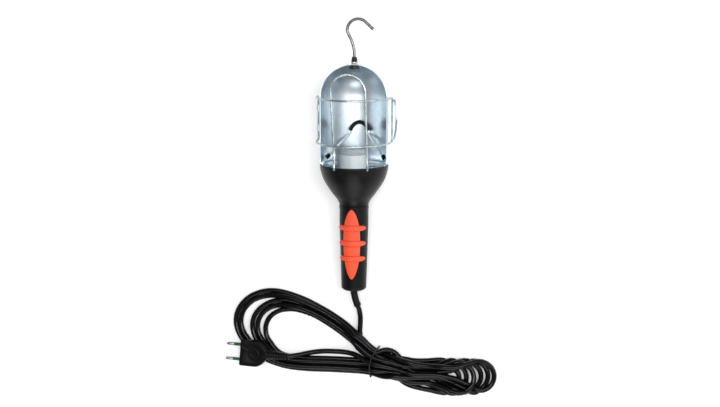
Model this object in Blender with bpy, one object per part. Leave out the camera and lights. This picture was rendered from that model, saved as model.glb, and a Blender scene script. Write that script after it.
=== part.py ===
"""Portable work light: wire hook, open sheet reflector, hinged wire guard, lampholder, moulded
handle with an inlaid grip, and a mains lead tied in a hank.

The lamp lies on its back, resting on the rim of its bowl and on the end of its handle.
Lamp pieces are modelled in the lamp's own frame (+Z from the handle's end to the hook,
-Y the open front) and parented to the empty lamp_axis, which lays the lamp down.
All lengths are in metres; MM turns millimetres into metres.
"""
from math import acos, atan2, cos, degrees, pi, radians, sin, sqrt

import bmesh
import bpy
from mathutils import Euler, Matrix, Vector

MM = 0.001
GAP = 0.3                      # clearance between touching pieces, mm

# ---- driving dimensions, mm, in the lamp's own frame ------------------------------------
HANDLE_END_R = 15.75           # handle radius just above its end
HANDLE_R = 18.2                # handle radius at the neck
END_WALL = 3.0                 # thickness of the handle's end wall
BOOT_HOLE_R = 5.0              # hole in the end wall
RIM_Z = 160.0                  # height of the bowl's rim
RIM_R = 42.8                   # outer radius of the rim
RIM_BORE_R = 39.9              # inner radius of the rim
LEDGE_Z = 152.3                # ledge inside the bowl that carries the reflector base
LEDGE_R = 31.5                 # inner radius of the ledge
SHELL_R = 42.5                 # reflector, outer radius
SHEET = 0.8                    # sheet thickness
SKIRT_R = 39.6                 # reflector skirt inside the rim, outer radius
DOME_Z = 242.5                 # centre of the reflector's dome
OPEN_Y = -8.0                  # plane of the reflector's open front
SHANK_R = 1.9                  # hook wire radius
SHANK_HOLE_R = 2.3             # hole at the dome's top
WIRE_R = 1.3                   # guard wire radius
HOOP_R = 46.9                  # guard hoops, centreline radius
HINGE_Y = 6.0                 # how far behind the axis the hoops end
HOOP_LOW_Z = 189.0
HOOP_TOP_Z = 244.0
HOOP_DIP = 2.0                 # the hoops are this much lower in front
ARCH_HALF = 21.4               # half the distance between the arch's legs at its top
ARCH_Y = -37.9                 # plane of the arch wire
ARCH_TOP_Z = 273.0
ARCH_FOOT_Z = 157.5
ARCH_FOOT_R = 44.8             # the feet stand this far from the axis, just outside the rim
BASE_Z = LEDGE_Z + GAP         # underside of the reflector base
BASE_SCREW_R = 34.8            # pitch radius of the base's screws
BASE_SCREW_ANGLES = (90, 210, 330)
HOLDER_R = 18.4                # lampholder, outer radius
HOLDER_NECK_R = 17.2           # its threaded neck below the base
CORD_R = 3.25                  # mains lead radius
HOOK_TOP_Z = 341.0

# ---- how the lamp lies: bowl and handle end touch the surface ---------------------------
REST_R = 42.4                  # radius of the bowl where it touches the surface
REST_Z = 155.5                 # and its height on the lamp's axis
END_FACE_R = 12.6              # outer radius of the handle's flat end
LAY = atan2(REST_R - HANDLE_END_R, REST_Z - END_WALL)  # tilt of the lamp's axis, radians
AXIS_RISE = HANDLE_END_R * cos(LAY) - END_WALL * sin(LAY)  # height of the axis at the handle's end
BOW_REACH = 53.8               # outermost point of the guard's finger bow, +X
HINGE_REACH = HOOP_R + WIRE_R  # outermost point of the guard's other side, -X
ORIGIN_X = (BOW_REACH - HINGE_REACH) / 2
ORIGIN_Y = (HOOK_TOP_Z * cos(LAY) - END_FACE_R * sin(LAY)) / 2


def clear_scene():
    for obj in list(bpy.data.objects):
        bpy.data.objects.remove(obj, do_unlink=True)


# ---- materials ---------------------------------------------------------------------------
PALETTE = {
    "black_plastic": ((0.018, 0.018, 0.019), 0.45, 0.0),
    "orange_rubber": ((0.87, 0.11, 0.03), 0.55, 0.0),
    "galvanised_sheet": ((0.62, 0.68, 0.72), 0.3, 1.0),
    "zinc_wire": ((0.72, 0.74, 0.75), 0.25, 1.0),
    "white_thermoset": ((0.78, 0.79, 0.77), 0.4, 0.0),
    "black_rubber": ((0.012, 0.012, 0.013), 0.4, 0.0),
    "nickel": ((0.75, 0.73, 0.70), 0.2, 1.0),
    "brass": ((0.75, 0.55, 0.25), 0.3, 1.0),
    "green_sleeve": ((0.01, 0.09, 0.05), 0.4, 0.0),
    "brown_insulation": ((0.16, 0.06, 0.02), 0.5, 0.0),
    "blue_insulation": ((0.03, 0.12, 0.4), 0.5, 0.0),
}


def make_material(node, finish):
    colour, roughness, metallic = PALETTE[finish]
    material = bpy.data.materials.new(node)
    material.use_nodes = True
    shader = material.node_tree.nodes["Principled BSDF"]
    shader.inputs["Base Color"].default_value = (*colour, 1.0)
    shader.inputs["Roughness"].default_value = roughness
    shader.inputs["Metallic"].default_value = metallic
    return material


# ---- building blocks ---------------------------------------------------------------------
def link(name, data, finish, parent=None):
    obj = bpy.data.objects.new(name, data)
    bpy.context.scene.collection.objects.link(obj)
    obj.parent = parent
    data.materials.append(make_material(name, finish))
    return obj


def mesh_object(name, bm, finish, parent=None, smooth_angle=35):
    bmesh.ops.recalc_face_normals(bm, faces=bm.faces)
    mesh = bpy.data.meshes.new(name)
    bm.to_mesh(mesh)
    bm.free()
    obj = link(name, mesh, finish, parent)
    mesh.shade_smooth()
    mesh.set_sharp_from_angle(angle=radians(smooth_angle))
    return obj


def add_turned(bm, profile, sides, matrix=Matrix.Identity(4)):
    """A solid turned about Z from a closed profile of (radius, height) in mm."""
    rings = []
    for radius, height in profile:
        if radius < 1e-6:
            rings.append([bm.verts.new(matrix @ Vector((0, 0, height * MM)))])
            continue
        ring = []
        for i in range(sides):
            a = 2 * pi * i / sides
            point = Vector((radius * cos(a) * MM, radius * sin(a) * MM, height * MM))
            ring.append(bm.verts.new(matrix @ point))
        rings.append(ring)
    for lower, upper in zip(rings, rings[1:] + rings[:1]):
        for i in range(sides):
            j = (i + 1) % sides
            if len(lower) == 1 and len(upper) == 1:
                break
            if len(lower) == 1:
                bm.faces.new((lower[0], upper[i], upper[j]))
            elif len(upper) == 1:
                bm.faces.new((lower[i], lower[j], upper[0]))
            else:
                bm.faces.new((lower[i], lower[j], upper[j], upper[i]))


def turned(name, profile, sides, finish, parent=None, matrix=Matrix.Identity(4)):
    bm = bmesh.new()
    add_turned(bm, profile, sides, matrix)
    return mesh_object(name, bm, finish, parent)


def turned_copies(name, profile, sides, finish, parent, places):
    """Identical turned pieces, one object for each place, sharing one mesh."""
    first = turned(name + "_1", profile, sides, finish, parent)
    first.matrix_local = places[0]
    for number, place in enumerate(places[1:], 2):
        copy = bpy.data.objects.new(f"{name}_{number}", first.data)
        bpy.context.scene.collection.objects.link(copy)
        copy.parent = parent
        copy.matrix_local = place


def add_box(bm, low, high, matrix=Matrix.Identity(4)):
    corners = [
        bm.verts.new(matrix @ Vector((x * MM, y * MM, z * MM)))
        for x in (low[0], high[0]) for y in (low[1], high[1]) for z in (low[2], high[2])
    ]
    for quad in ((0, 1, 3, 2), (4, 6, 7, 5), (0, 4, 5, 1), (2, 3, 7, 6), (0, 2, 6, 4), (1, 5, 7, 3)):
        bm.faces.new([corners[i] for i in quad])


def prism(name, outline, low_z, high_z, finish, parent=None):
    """An outline of (x, y) in mm, extruded from low_z to high_z."""
    bm = bmesh.new()
    low = [bm.verts.new((x * MM, y * MM, low_z * MM)) for x, y in outline]
    high = [bm.verts.new((x * MM, y * MM, high_z * MM)) for x, y in outline]
    bm.faces.new(low)
    bm.faces.new(high)
    for i in range(len(outline)):
        j = (i + 1) % len(outline)
        bm.faces.new((low[i], low[j], high[j], high[i]))
    return mesh_object(name, bm, finish, parent)


def wire(name, points, radius, finish, parent=None, closed=False, resolution=2):
    """A round wire along points in mm, as a curve with a bevel and filled caps."""
    curve = bpy.data.curves.new(name, "CURVE")
    curve.dimensions = "3D"
    curve.bevel_depth = radius * MM
    curve.bevel_resolution = resolution
    curve.use_fill_caps = True
    spline = curve.splines.new("POLY")
    spline.points.add(len(points) - 1)
    for slot, point in zip(spline.points, points):
        slot.co = (*(Vector(point) * MM), 1.0)
    spline.use_cyclic_u = closed
    spline.use_smooth = True
    return link(name, curve, finish, parent)


def smooth_path(points, steps):
    """Points read from a Catmull-Rom curve through the route's own points."""
    route = [Vector(p) for p in points]
    route = [2 * route[0] - route[1]] + route + [2 * route[-1] - route[-2]]
    path = []
    for a, b, c, d in zip(route, route[1:], route[2:], route[3:]):
        for i in range(steps):
            t = i / steps
            path.append(0.5 * (2 * b + (c - a) * t + (2 * a - 5 * b + 4 * c - d) * t ** 2
                               + (3 * b - a - 3 * c + d) * t ** 3))
    path.append(route[-2])
    return path


def sleeve_along(name, path, outer, inner, sides, finish, parent=None):
    """A tube with a bore, swept along path; outer and inner are radii for each point, mm."""
    bm = bmesh.new()
    loops = []
    reference = Vector((0, 1, 0))
    for i, point in enumerate(path):
        ahead = path[min(i + 1, len(path) - 1)]
        behind = path[max(i - 1, 0)]
        along = (ahead - behind).normalized()
        side = reference.cross(along).normalized()
        up = along.cross(side)
        pair = []
        for radius in (outer[i], inner[i]):
            ring = []
            for k in range(sides):
                a = 2 * pi * k / sides
                ring.append(bm.verts.new((point + radius * (side * cos(a) + up * sin(a))) * MM))
            pair.append(ring)
        loops.append(pair)
    for k in range(sides):
        n = (k + 1) % sides
        for (out_a, in_a), (out_b, in_b) in zip(loops, loops[1:]):
            bm.faces.new((out_a[k], out_a[n], out_b[n], out_b[k]))
            bm.faces.new((in_a[n], in_a[k], in_b[k], in_b[n]))
        for out, inn in (loops[0], loops[-1]):
            bm.faces.new((out[k], inn[k], inn[n], out[n]))
    return mesh_object(name, bm, finish, parent)


def cutter(name, bm, parent=None):
    bmesh.ops.recalc_face_normals(bm, faces=bm.faces)
    mesh = bpy.data.meshes.new(name)
    bm.to_mesh(mesh)
    bm.free()
    obj = bpy.data.objects.new(name, mesh)
    bpy.context.scene.collection.objects.link(obj)
    obj.parent = parent
    obj.hide_render = True
    obj.display_type = "WIRE"
    return obj


def combine(obj, other, operation):
    modifier = obj.modifiers.new(other.name, "BOOLEAN")
    modifier.operation = operation
    modifier.object = other
    modifier.solver = "EXACT"


# ---- the frame the lamp lies in ----------------------------------------------------------
def lay_lamp_down():
    """The empty whose own +Z is the lamp's axis and whose own -Y is its open front."""
    empty = bpy.data.objects.new("lamp_axis", None)
    bpy.context.scene.collection.objects.link(empty)
    empty.rotation_euler = Euler((LAY - pi / 2, 0, 0))
    empty.location = Vector((-ORIGIN_X, -ORIGIN_Y, AXIS_RISE)) * MM
    return empty


def pivot_empty(name, parent, location):
    empty = bpy.data.objects.new(name, None)
    bpy.context.scene.collection.objects.link(empty)
    empty.parent = parent
    empty.location = Vector(location) * MM
    return empty


def floor_point(x, y, z=0.0):
    """From coordinates on the surface, measured from the handle's end, to the part's frame."""
    return Vector((x - ORIGIN_X, y - ORIGIN_Y, z))


# ---- handle ------------------------------------------------------------------------------
def handle_radius(z):
    """Outer radius of the handle below the neck."""
    share = min(1.0, max(0.0, (z - END_WALL) / 85))
    return HANDLE_END_R + (HANDLE_R - HANDLE_END_R) * share


def build_handle(lamp):
    outer = [(BOOT_HOLE_R, 0), (END_FACE_R, 0), (14.8, 0.9), (HANDLE_END_R, END_WALL)]
    outer += [(handle_radius(z), z) for z in (30, 60, 88)]
    outer += [(HANDLE_R, 107), (18.9, 112), (21.6, 117), (25.6, 122), (30.6, 129), (34.9, 135.5)]
    outer += [(38.4, 142), (40.9, 149), (REST_R, REST_Z), (RIM_R, RIM_Z)]
    inner = [(RIM_BORE_R, RIM_Z), (RIM_BORE_R, LEDGE_Z), (LEDGE_R, LEDGE_Z), (LEDGE_R, 146)]
    inner += [(26, 131), (15.4, 112), (15.2, 90), (13.1, 20), (13.1, END_WALL), (BOOT_HOLE_R, END_WALL)]
    handle = turned("handle_body", outer + inner, 36, "black_plastic", lamp)
    bm = bmesh.new()
    for angle in BASE_SCREW_ANGLES:
        add_turned(bm, [(0, 146.4), (1.5, 146.4), (1.5, LEDGE_Z + 2), (0, LEDGE_Z + 2)], 10,
                   Matrix.Rotation(radians(angle), 4, "Z") @ Matrix.Translation((BASE_SCREW_R * MM, 0, 0)))
    combine(handle, cutter("cut_screw_holes", bm, lamp), "DIFFERENCE")


GRIP_LOW_Z = 16.5
GRIP_HIGH_Z = 106.0
GRIP_RIBS = (43.0, 62.5, 82.0)
RIB_HALF = 3.4                 # half the width of a cross rib along the handle
GRIP_HALF_ANGLE = 36.0         # spindle's widest half angle, degrees
RIB_HALF_ANGLE = 62.0
GRIP_PROUD = 1.8


def grip_half_angle(z):
    """Half angle covered by the grip at height z: a pointed spindle with three cross ribs."""
    middle = (GRIP_LOW_Z + GRIP_HIGH_Z) / 2
    share = abs(z - middle) / (middle - GRIP_LOW_Z)
    angle = max(2.5, GRIP_HALF_ANGLE * (1 - share ** 2.2) ** 0.62)
    for rib in GRIP_RIBS:
        away = min(1.0, abs(z - rib) / RIB_HALF)
        angle += (RIB_HALF_ANGLE - angle) * (1 - away ** 4) ** 0.25
    return angle


def build_grip(lamp):
    rows = [GRIP_LOW_Z + i for i in (0, 2, 6, 12, 18)]
    for rib in GRIP_RIBS:
        rows += [rib + RIB_HALF * share for share in (-1, -0.99, -0.93, -0.75, 0, 0.75, 0.93, 0.99, 1)]
        rows.append(rib + 9.7)
    rows += [GRIP_HIGH_Z - i for i in (10, 5, 2, 0)]
    columns = 8
    bm = bmesh.new()
    outer, inner = [], []
    for z in rows:
        half = radians(grip_half_angle(z))
        on_rib = any(abs(z - rib) < RIB_HALF for rib in GRIP_RIBS)
        for sheet, is_outer in ((outer, True), (inner, False)):
            line = []
            for i in range(columns + 1):
                share = 2 * i / columns - 1
                a = share * half - pi / 2
                radius = (handle_radius(z) + GAP) / cos(half / columns)
                if is_outer:
                    radius += GRIP_PROUD * (1.0 if on_rib else 0.8) * (1 - 0.45 * share ** 4)
                line.append(bm.verts.new(Vector((radius * cos(a), radius * sin(a), z)) * MM))
            sheet.append(line)
    last = len(rows) - 1
    for r in range(last):
        for i in range(columns):
            bm.faces.new((outer[r][i], outer[r][i + 1], outer[r + 1][i + 1], outer[r + 1][i]))
            bm.faces.new((inner[r][i + 1], inner[r][i], inner[r + 1][i], inner[r + 1][i + 1]))
        for i in (0, columns):
            bm.faces.new((outer[r][i], inner[r][i], inner[r + 1][i], outer[r + 1][i]))
    for r in (0, last):
        for i in range(columns):
            bm.faces.new((outer[r][i], outer[r][i + 1], inner[r][i + 1], inner[r][i]))
    mesh_object("grip_front", bm, "orange_rubber", lamp)


# ---- reflector ---------------------------------------------------------------------------
def shell_profile():
    def side(radius, skirt, shift):
        points = [(skirt, LEDGE_Z + SHEET + 2 * GAP), (skirt, RIM_Z + 0.2 + shift)]
        points += [(radius, RIM_Z + 1.6 + shift), (radius, 200), (radius, DOME_Z)]
        steps = 8
        hole_angle = SHANK_HOLE_R / radius
        for i in range(1, steps + 1):
            a = (pi / 2 - hole_angle) * i / steps
            points.append((radius * cos(a), DOME_Z + radius * sin(a)))
        return points

    outer = side(SHELL_R, SKIRT_R, 0)
    inner = side(SHELL_R - SHEET, SKIRT_R - SHEET, SHEET / 2)
    return outer + inner[::-1]


def build_reflector(lamp):
    shell = turned("reflector_shell", shell_profile(), 40, "galvanised_sheet", lamp)
    bm = bmesh.new()
    add_box(bm, (-60, -60, 140), (60, OPEN_Y, 300))
    combine(shell, cutter("cut_open_front", bm, lamp), "DIFFERENCE")

    hole = HOLDER_NECK_R + GAP
    plate = [(hole, BASE_Z), (SKIRT_R, BASE_Z), (SKIRT_R, BASE_Z + SHEET - GAP), (hole, BASE_Z + SHEET - GAP)]
    base = turned("reflector_base", plate, 36, "galvanised_sheet", lamp)
    bm = bmesh.new()
    for angle in BASE_SCREW_ANGLES:
        add_turned(bm, [(0, 151), (1.7, 151), (1.7, 155), (0, 155)], 10,
                   Matrix.Rotation(radians(angle), 4, "Z") @ Matrix.Translation((BASE_SCREW_R * MM, 0, 0)))
    combine(base, cutter("cut_base_holes", bm, lamp), "DIFFERENCE")

    head_z = BASE_Z + SHEET
    screw = [(0, 147), (1.2, 147), (1.2, head_z), (2.6, head_z), (2.4, head_z + 1.1), (0, head_z + 1.7)]
    places = [
        Matrix.Rotation(radians(a), 4, "Z") @ Matrix.Translation((BASE_SCREW_R * MM, 0, 0))
        for a in BASE_SCREW_ANGLES
    ]
    turned_copies("base_screw", screw, 10, "zinc_wire", lamp, places)


STAY_R = 1.6                   # stay wire radius
STAY_APEX = (38.0, 209.5)      # y and z of the bend's top
STAY_BEND_R = 13.1             # half the bend's width
STAY_BEND_RISE = 1.45          # its height as a share of a round bend's
STAY_COVER_R = 2.5             # sleeve round the bend
STAY_FOOT_COVER_R = 2.8
STAY_FOOT_COVER_LONG = 5.8
STAY_KNEE = (36.2, 13.5, 168.0)
STAY_TIP = (39.4, 4.5, 163.6)


def stay_bend_point(angle):
    """A point of the stay's bend, angle in degrees from its top."""
    a = radians(angle)
    drop = STAY_BEND_R * (1 - cos(a)) * STAY_BEND_RISE
    return Vector((STAY_BEND_R * sin(a), STAY_APEX[0] - 0.16 * drop, STAY_APEX[1] - drop))


def build_stay(lamp):
    left = [Vector((-STAY_TIP[0], *STAY_TIP[1:])), Vector((-38.4, 9.0, 165.4)),
            Vector((-STAY_KNEE[0], *STAY_KNEE[1:]))]
    end = stay_bend_point(-78)
    knee = left[-1]
    legs = [knee.lerp(end, s) for s in (0.3, 0.65)]
    bend = [stay_bend_point(a) for a in range(-78, 79, 13)]
    mirror = [Vector((-p.x, p.y, p.z)) for p in reversed(left + legs)]
    wire("reflector_stay", left + legs + bend + mirror, STAY_R, "zinc_wire", lamp)

    path = [stay_bend_point(a) for a in range(-65, 66, 13)]
    sleeve_along("stay_bend_sleeve", path, [STAY_COVER_R] * len(path), [STAY_R + GAP] * len(path), 10,
                 "black_rubber", lamp)
    bore = STAY_R + GAP
    places = []
    for side in (-1, 1):
        foot = Vector((side * STAY_KNEE[0], STAY_KNEE[1], STAY_KNEE[2]))
        along = (Vector((side * abs(end.x), end.y, end.z)) - foot).normalized()
        lean = along.to_track_quat("Z", "Y").to_matrix().to_4x4()
        places.append(Matrix.Translation((foot + along * 1.4) * MM) @ lean)
    sleeve = [(bore, 0), (STAY_FOOT_COVER_R, 0), (STAY_FOOT_COVER_R, STAY_FOOT_COVER_LONG),
              (bore, STAY_FOOT_COVER_LONG)]
    turned_copies("stay_foot_sleeve", sleeve, 10, "black_rubber", lamp, places)


# ---- hook --------------------------------------------------------------------------------
DOME_TOP_Z = DOME_Z + SHELL_R
HOOK_BEND_R = 13.6             # centreline radius of the hook's bend
HOOK_END_LONG = 11.5           # straight end after the bend


def hook_path():
    """Shank, sway to the left, round bend and straight open end, in the plane y = 0."""
    centre = Vector((4.6, 0, HOOK_TOP_Z - SHANK_R - HOOK_BEND_R))
    shank = [(0, 0, 277.2), (0, 0, 285), (0, 0, 294), (-0.6, 0, 303), (-3.2, 0, 312)]
    path = smooth_path(shank + [(-6.6, 0, 319)], 2)
    for angle in range(185, 39, -12):
        a = radians(angle)
        path.append(centre + HOOK_BEND_R * Vector((cos(a), 0, sin(a))))
    end = path[-1]
    away = (path[-1] - path[-2]).normalized()
    path.append(end + away * HOOK_END_LONG)
    return path


def build_hook(lamp):
    swivel = pivot_empty("hook_axis", lamp, (0, 0, DOME_TOP_Z))
    drop = Vector((0, 0, DOME_TOP_Z))
    wire("hook", [p - drop for p in hook_path()], SHANK_R, "zinc_wire", swivel)
    bore = SHANK_R + GAP
    bush = [(bore, 2.2), (4.0, 2.2), (4.0, 2.9), (3.6, 4.4), (3.2, 7.8), (bore, 7.8)]
    turned("hook_bush", bush, 16, "black_plastic", swivel)
    washer = [(bore, GAP), (4.3, GAP), (4.3, 1.9), (bore, 1.9)]
    turned("hook_washer", washer, 16, "zinc_wire", lamp).location = drop * MM

    bm = bmesh.new()
    top = -SHEET - GAP - 0.9       # the dome curves down over the nut
    add_turned(bm, [(bore, top - 5.0), (6.4, top - 5.0), (6.4, top), (bore, top)], 6)
    nut = mesh_object("hook_nut", bm, "black_plastic", swivel)
    nut.rotation_euler = Euler((0, 0, radians(30)))


# ---- guard -------------------------------------------------------------------------------
HINGE_X = sqrt(HOOP_R ** 2 - HINGE_Y ** 2)


def on_hoop(angle, z):
    """A point at HOOP_R, angle in degrees from the open front, positive towards +X."""
    a = radians(angle)
    return Vector((HOOP_R * sin(a), -HOOP_R * cos(a), z - HOOP_DIP * max(0.0, cos(a))))


ARCH_TAPER = 1.4               # how much nearer to the middle each leg's foot is than its top
ARCH_TOP_X = -1.9              # middle of the arch at its top
ARCH_LEAN = 4.9                # how far the feet lie to the right of the top
ARCH_FOOT_RISE = 5.0           # below this height above the rim a leg follows the handle's cup


def arch_point(side, z):
    """A point of one leg: the arch leans a little and its legs draw together towards the feet."""
    down = (ARCH_TOP_Z - z) / (ARCH_TOP_Z - ARCH_FOOT_Z)
    x = side * (ARCH_HALF - ARCH_TAPER * down) + ARCH_TOP_X + ARCH_LEAN * down
    y = -sqrt(ARCH_FOOT_R ** 2 - x ** 2) if z < RIM_Z + ARCH_FOOT_RISE else ARCH_Y
    return Vector((x, y, z))


def build_guard(lamp):
    hinge = Vector((-HINGE_X, HINGE_Y, (HOOP_LOW_Z + HOOP_TOP_Z) / 2))
    pivot = pivot_empty("guard_axis", lamp, hinge)
    end_angle = 180 - degrees(acos(HINGE_Y / HOOP_R))
    bend = 4.0                 # corners of the frame wire, degrees round the hoop and mm along it
    sweep = [-end_angle + bend + (2 * end_angle - 2 * bend) * i / 20 for i in range(21)]
    top = [on_hoop(a, HOOP_TOP_Z) for a in sweep]
    low = [on_hoop(a, HOOP_LOW_Z) for a in reversed(sweep)]
    right = [on_hoop(end_angle - 0.9, HOOP_TOP_Z - 0.9), on_hoop(end_angle, HOOP_TOP_Z - bend),
             on_hoop(end_angle, HOOP_LOW_Z + bend), on_hoop(end_angle - 0.9, HOOP_LOW_Z + 0.9)]
    left = [on_hoop(-end_angle + 0.9, HOOP_LOW_Z + 0.9), on_hoop(-end_angle, HOOP_LOW_Z + bend),
            on_hoop(-end_angle, HOOP_TOP_Z - bend), on_hoop(-end_angle + 0.9, HOOP_TOP_Z - 0.9)]
    frame = [p - hinge for p in top + right + low + left]
    wire("guard_frame", frame, WIRE_R, "zinc_wire", pivot, closed=True)

    spring_z = ARCH_TOP_Z - ARCH_HALF
    heights = (ARCH_FOOT_Z, 163, 176, 214)
    arch = [arch_point(sin(radians(a)), spring_z + ARCH_HALF * cos(radians(a))) for a in range(-90, 91, 15)]
    path = [arch_point(-1, z) for z in heights] + arch + [arch_point(1, z) for z in reversed(heights)]
    wire("guard_arch", [p - hinge for p in path], WIRE_R + 0.1, "zinc_wire", pivot)

    # The finger bow stands just outside the frame's latch side and is welded to its corners.
    reach = BOW_REACH - WIRE_R
    start = HINGE_X + 2 * WIRE_R + GAP
    bow = []
    for i in range(13):
        share = i / 12
        z = HOOP_LOW_Z + 3 + (HOOP_TOP_Z - HOOP_LOW_Z - 6) * share
        lift = sin(pi * share) ** 0.8
        bow.append(Vector((start + (reach - start) * lift, HINGE_Y - 4.0 * lift, z)) - hinge)
    wire("guard_finger_bow", bow, WIRE_R, "zinc_wire", pivot)


CLIP_HALF = 4.0                # half length of a hinge clip along the wire
CLIP_HEIGHTS = (204.0, 229.0)


def clip_outline(grip_r, thick, foot):
    """Cross-section of a clip: a strap that wraps a wire at the origin and runs to a foot.

    The wire's side faces -X; the foot reaches +X to the reflector's wall.
    """
    inner = [(grip_r * cos(radians(a)), grip_r * sin(radians(a))) for a in range(40, 331, 29)]
    outer_r = grip_r + thick
    outer = [(outer_r * cos(radians(a)), outer_r * sin(radians(a))) for a in range(330, 39, -29)]
    tail = [(foot, inner[-1][1] + 0.1), (foot, outer[0][1] - 0.2)]
    return inner + tail + outer


def build_guard_fittings(lamp):
    grip_r = WIRE_R + GAP
    strap = 0.8
    foot = HINGE_X - sqrt((SHELL_R + GAP) ** 2 - (HINGE_Y - 2) ** 2)
    for number, middle in enumerate(CLIP_HEIGHTS, 1):
        clip = prism(f"hinge_clip_{number}", clip_outline(grip_r, strap, foot), -CLIP_HALF, CLIP_HALF,
                     "galvanised_sheet", lamp)
        clip.location = Vector((-HINGE_X, HINGE_Y, middle)) * MM
    wall_x = sqrt((SHELL_R + GAP) ** 2 - (HINGE_Y + grip_r) ** 2)
    catch_outline = [(wall_x, grip_r), (HINGE_X + 0.4, grip_r), (HINGE_X + 0.4, grip_r + strap),
                     (wall_x, grip_r + strap)]
    catch = prism("latch_catch", catch_outline, -CLIP_HALF, CLIP_HALF, "galvanised_sheet", lamp)
    catch.location = Vector((0, HINGE_Y, (HOOP_LOW_Z + HOOP_TOP_Z) / 2)) * MM


# ---- lampholder --------------------------------------------------------------------------
HOLDER_BORE_R = 15.0
CORE_TOP_Z = 152.0
HOLDER_TOP_Z = 173.6
RING_TOP_Z = 181.0


def build_lampholder(lamp):
    flange_z = BASE_Z + SHEET
    body = [(HOLDER_BORE_R, 134), (HOLDER_NECK_R, 134), (HOLDER_NECK_R, flange_z), (20.6, flange_z),
            (20.6, flange_z + 2.4), (HOLDER_R, flange_z + 3.2), (HOLDER_R, HOLDER_TOP_Z),
            (HOLDER_BORE_R, HOLDER_TOP_Z)]
    turned("lampholder_body", body, 28, "white_thermoset", lamp)
    ring = [(14.5, HOLDER_TOP_Z + GAP), (18.9, HOLDER_TOP_Z + GAP), (18.9, RING_TOP_Z - 1.0),
            (18.1, RING_TOP_Z), (14.5, RING_TOP_Z)]
    turned("lampholder_ring", ring, 28, "white_thermoset", lamp)
    nut = [(HOLDER_NECK_R + GAP, 146), (22, 146), (22, LEDGE_Z), (HOLDER_NECK_R + GAP, LEDGE_Z)]
    turned("lampholder_nut", nut, 20, "white_thermoset", lamp)

    core = [(2.2, 146), (14.7, 146), (14.7, CORE_TOP_Z), (2.2, CORE_TOP_Z)]
    turned("holder_core", core, 20, "white_thermoset", lamp)
    thread = []
    crests = 5
    for i in range(2 * crests + 1):
        z = CORE_TOP_Z + GAP + 4 + 1.81 * i
        thread.append((13.55 + (0.35 if i % 2 else -0.2), z))
    outer = [(13.6, CORE_TOP_Z + GAP)] + thread
    inner = [(r - 0.4, z) for r, z in outer]
    turned("screw_shell", outer + inner[::-1], 16, "nickel", lamp)

    slide = pivot_empty("contact_axis", lamp, (0, 0, CORE_TOP_Z))
    contact = [(0, -9), (1.7, -9), (1.7, 2.4), (4.2, 2.4), (3.9, 3.4), (0, 4.0)]
    turned("centre_contact", contact, 12, "brass", slide)

    for number, side in enumerate((-1, 1), 1):
        bm = bmesh.new()
        add_box(bm, (side * 8.5 - 2.8, -3.5, 138), (side * 8.5 + 2.8, 3.5, 146 - GAP))
        mesh_object(f"terminal_{number}", bm, "brass", lamp)
    turn_to_front = Matrix.Rotation(pi / 2, 4, "X")
    places = [
        Matrix.Translation(Vector((side * 8.5, -3.5 - GAP, 142)) * MM) @ turn_to_front for side in (-1, 1)
    ]
    screw = [(0, 0), (2.0, 0), (2.0, 1.6), (0, 1.6)]
    turned_copies("terminal_screw", screw, 10, "zinc_wire", lamp, places)


# ---- wiring inside the handle ------------------------------------------------------------
CLAMP_LOW_Z = 12.0
CLAMP_HIGH_Z = 21.0
CLAMP_R = 12.4
CLAMP_SCREW_X = 8.0            # the two screws stand this far from the lead
CLAMP_SCREW_Z = (CLAMP_LOW_Z + CLAMP_HIGH_Z) / 2
BOOT_PATH = ((0, 0, 7.4), (0, 0, 3.0), (0, 0, -1.5), (0.9, 0.1, -8), (2.6, 0.5, -15), (4.8, 1.2, -21.5))


def build_wiring(lamp):
    path = smooth_path(BOOT_PATH, 2)
    outer = []
    for point in path:
        if point.z > END_WALL + GAP:
            outer.append(7.2)
        elif point.z > -2:
            outer.append(4.6)
        else:
            outer.append(4.6 + 0.012 * (point.z + 2))
    sleeve_along("cable_boot", path, outer, [CORD_R + GAP] * len(path), 12, "black_rubber", lamp)

    inside = [(0, 0, 34), (0, 0, 20)] + list(BOOT_PATH)
    wire("cable_inner", smooth_path(inside, 2), CORD_R, "black_rubber", lamp)

    across = Matrix.Rotation(pi / 2, 4, "X")
    places = [
        Matrix.Translation(Vector((side * CLAMP_SCREW_X, 0, CLAMP_SCREW_Z)) * MM) @ across for side in (-1, 1)
    ]
    for name, side in (("cord_clamp_front", -1), ("cord_clamp_back", 1)):
        turned_block = [(CORD_R + GAP, CLAMP_LOW_Z), (CLAMP_R, CLAMP_LOW_Z),
                        (CLAMP_R, CLAMP_HIGH_Z), (CORD_R + GAP, CLAMP_HIGH_Z)]
        block = turned(name, turned_block, 20, "white_thermoset", lamp)
        bm = bmesh.new()
        edge = (-GAP / 2, 20) if side < 0 else (-20, GAP / 2)
        add_box(bm, (-20, edge[0], 5), (20, edge[1], 30))
        combine(block, cutter("cut_" + name, bm, lamp), "DIFFERENCE")
        bm = bmesh.new()
        for place in places:
            add_turned(bm, [(0, -20), (1.6, -20), (1.6, 20), (0, 20)], 8, place)
        combine(block, cutter("cut_screws_" + name, bm, lamp), "DIFFERENCE")
    screw_r = 1.3
    face = sqrt(CLAMP_R ** 2 - (CLAMP_SCREW_X + screw_r) ** 2)
    screw = [(0, -face), (screw_r, -face), (screw_r, face), (0, face)]
    turned_copies("clamp_screw", screw, 8, "zinc_wire", lamp, places)

    for name, side, finish in (("conductor_brown", -1, "brown_insulation"),
                               ("conductor_blue", 1, "blue_insulation")):
        route = [(side * 1.6, 0, 34.3), (side * 2.6, 0, 42), (side * 4, 2, 60), (side * 5, 3, 85),
                 (side * 6, 2, 108), (side * 8, 0, 125), (side * 8.5, 0, 138 - GAP)]
        wire(name, smooth_path(route, 2), 1.15, finish, lamp, resolution=1)


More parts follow.
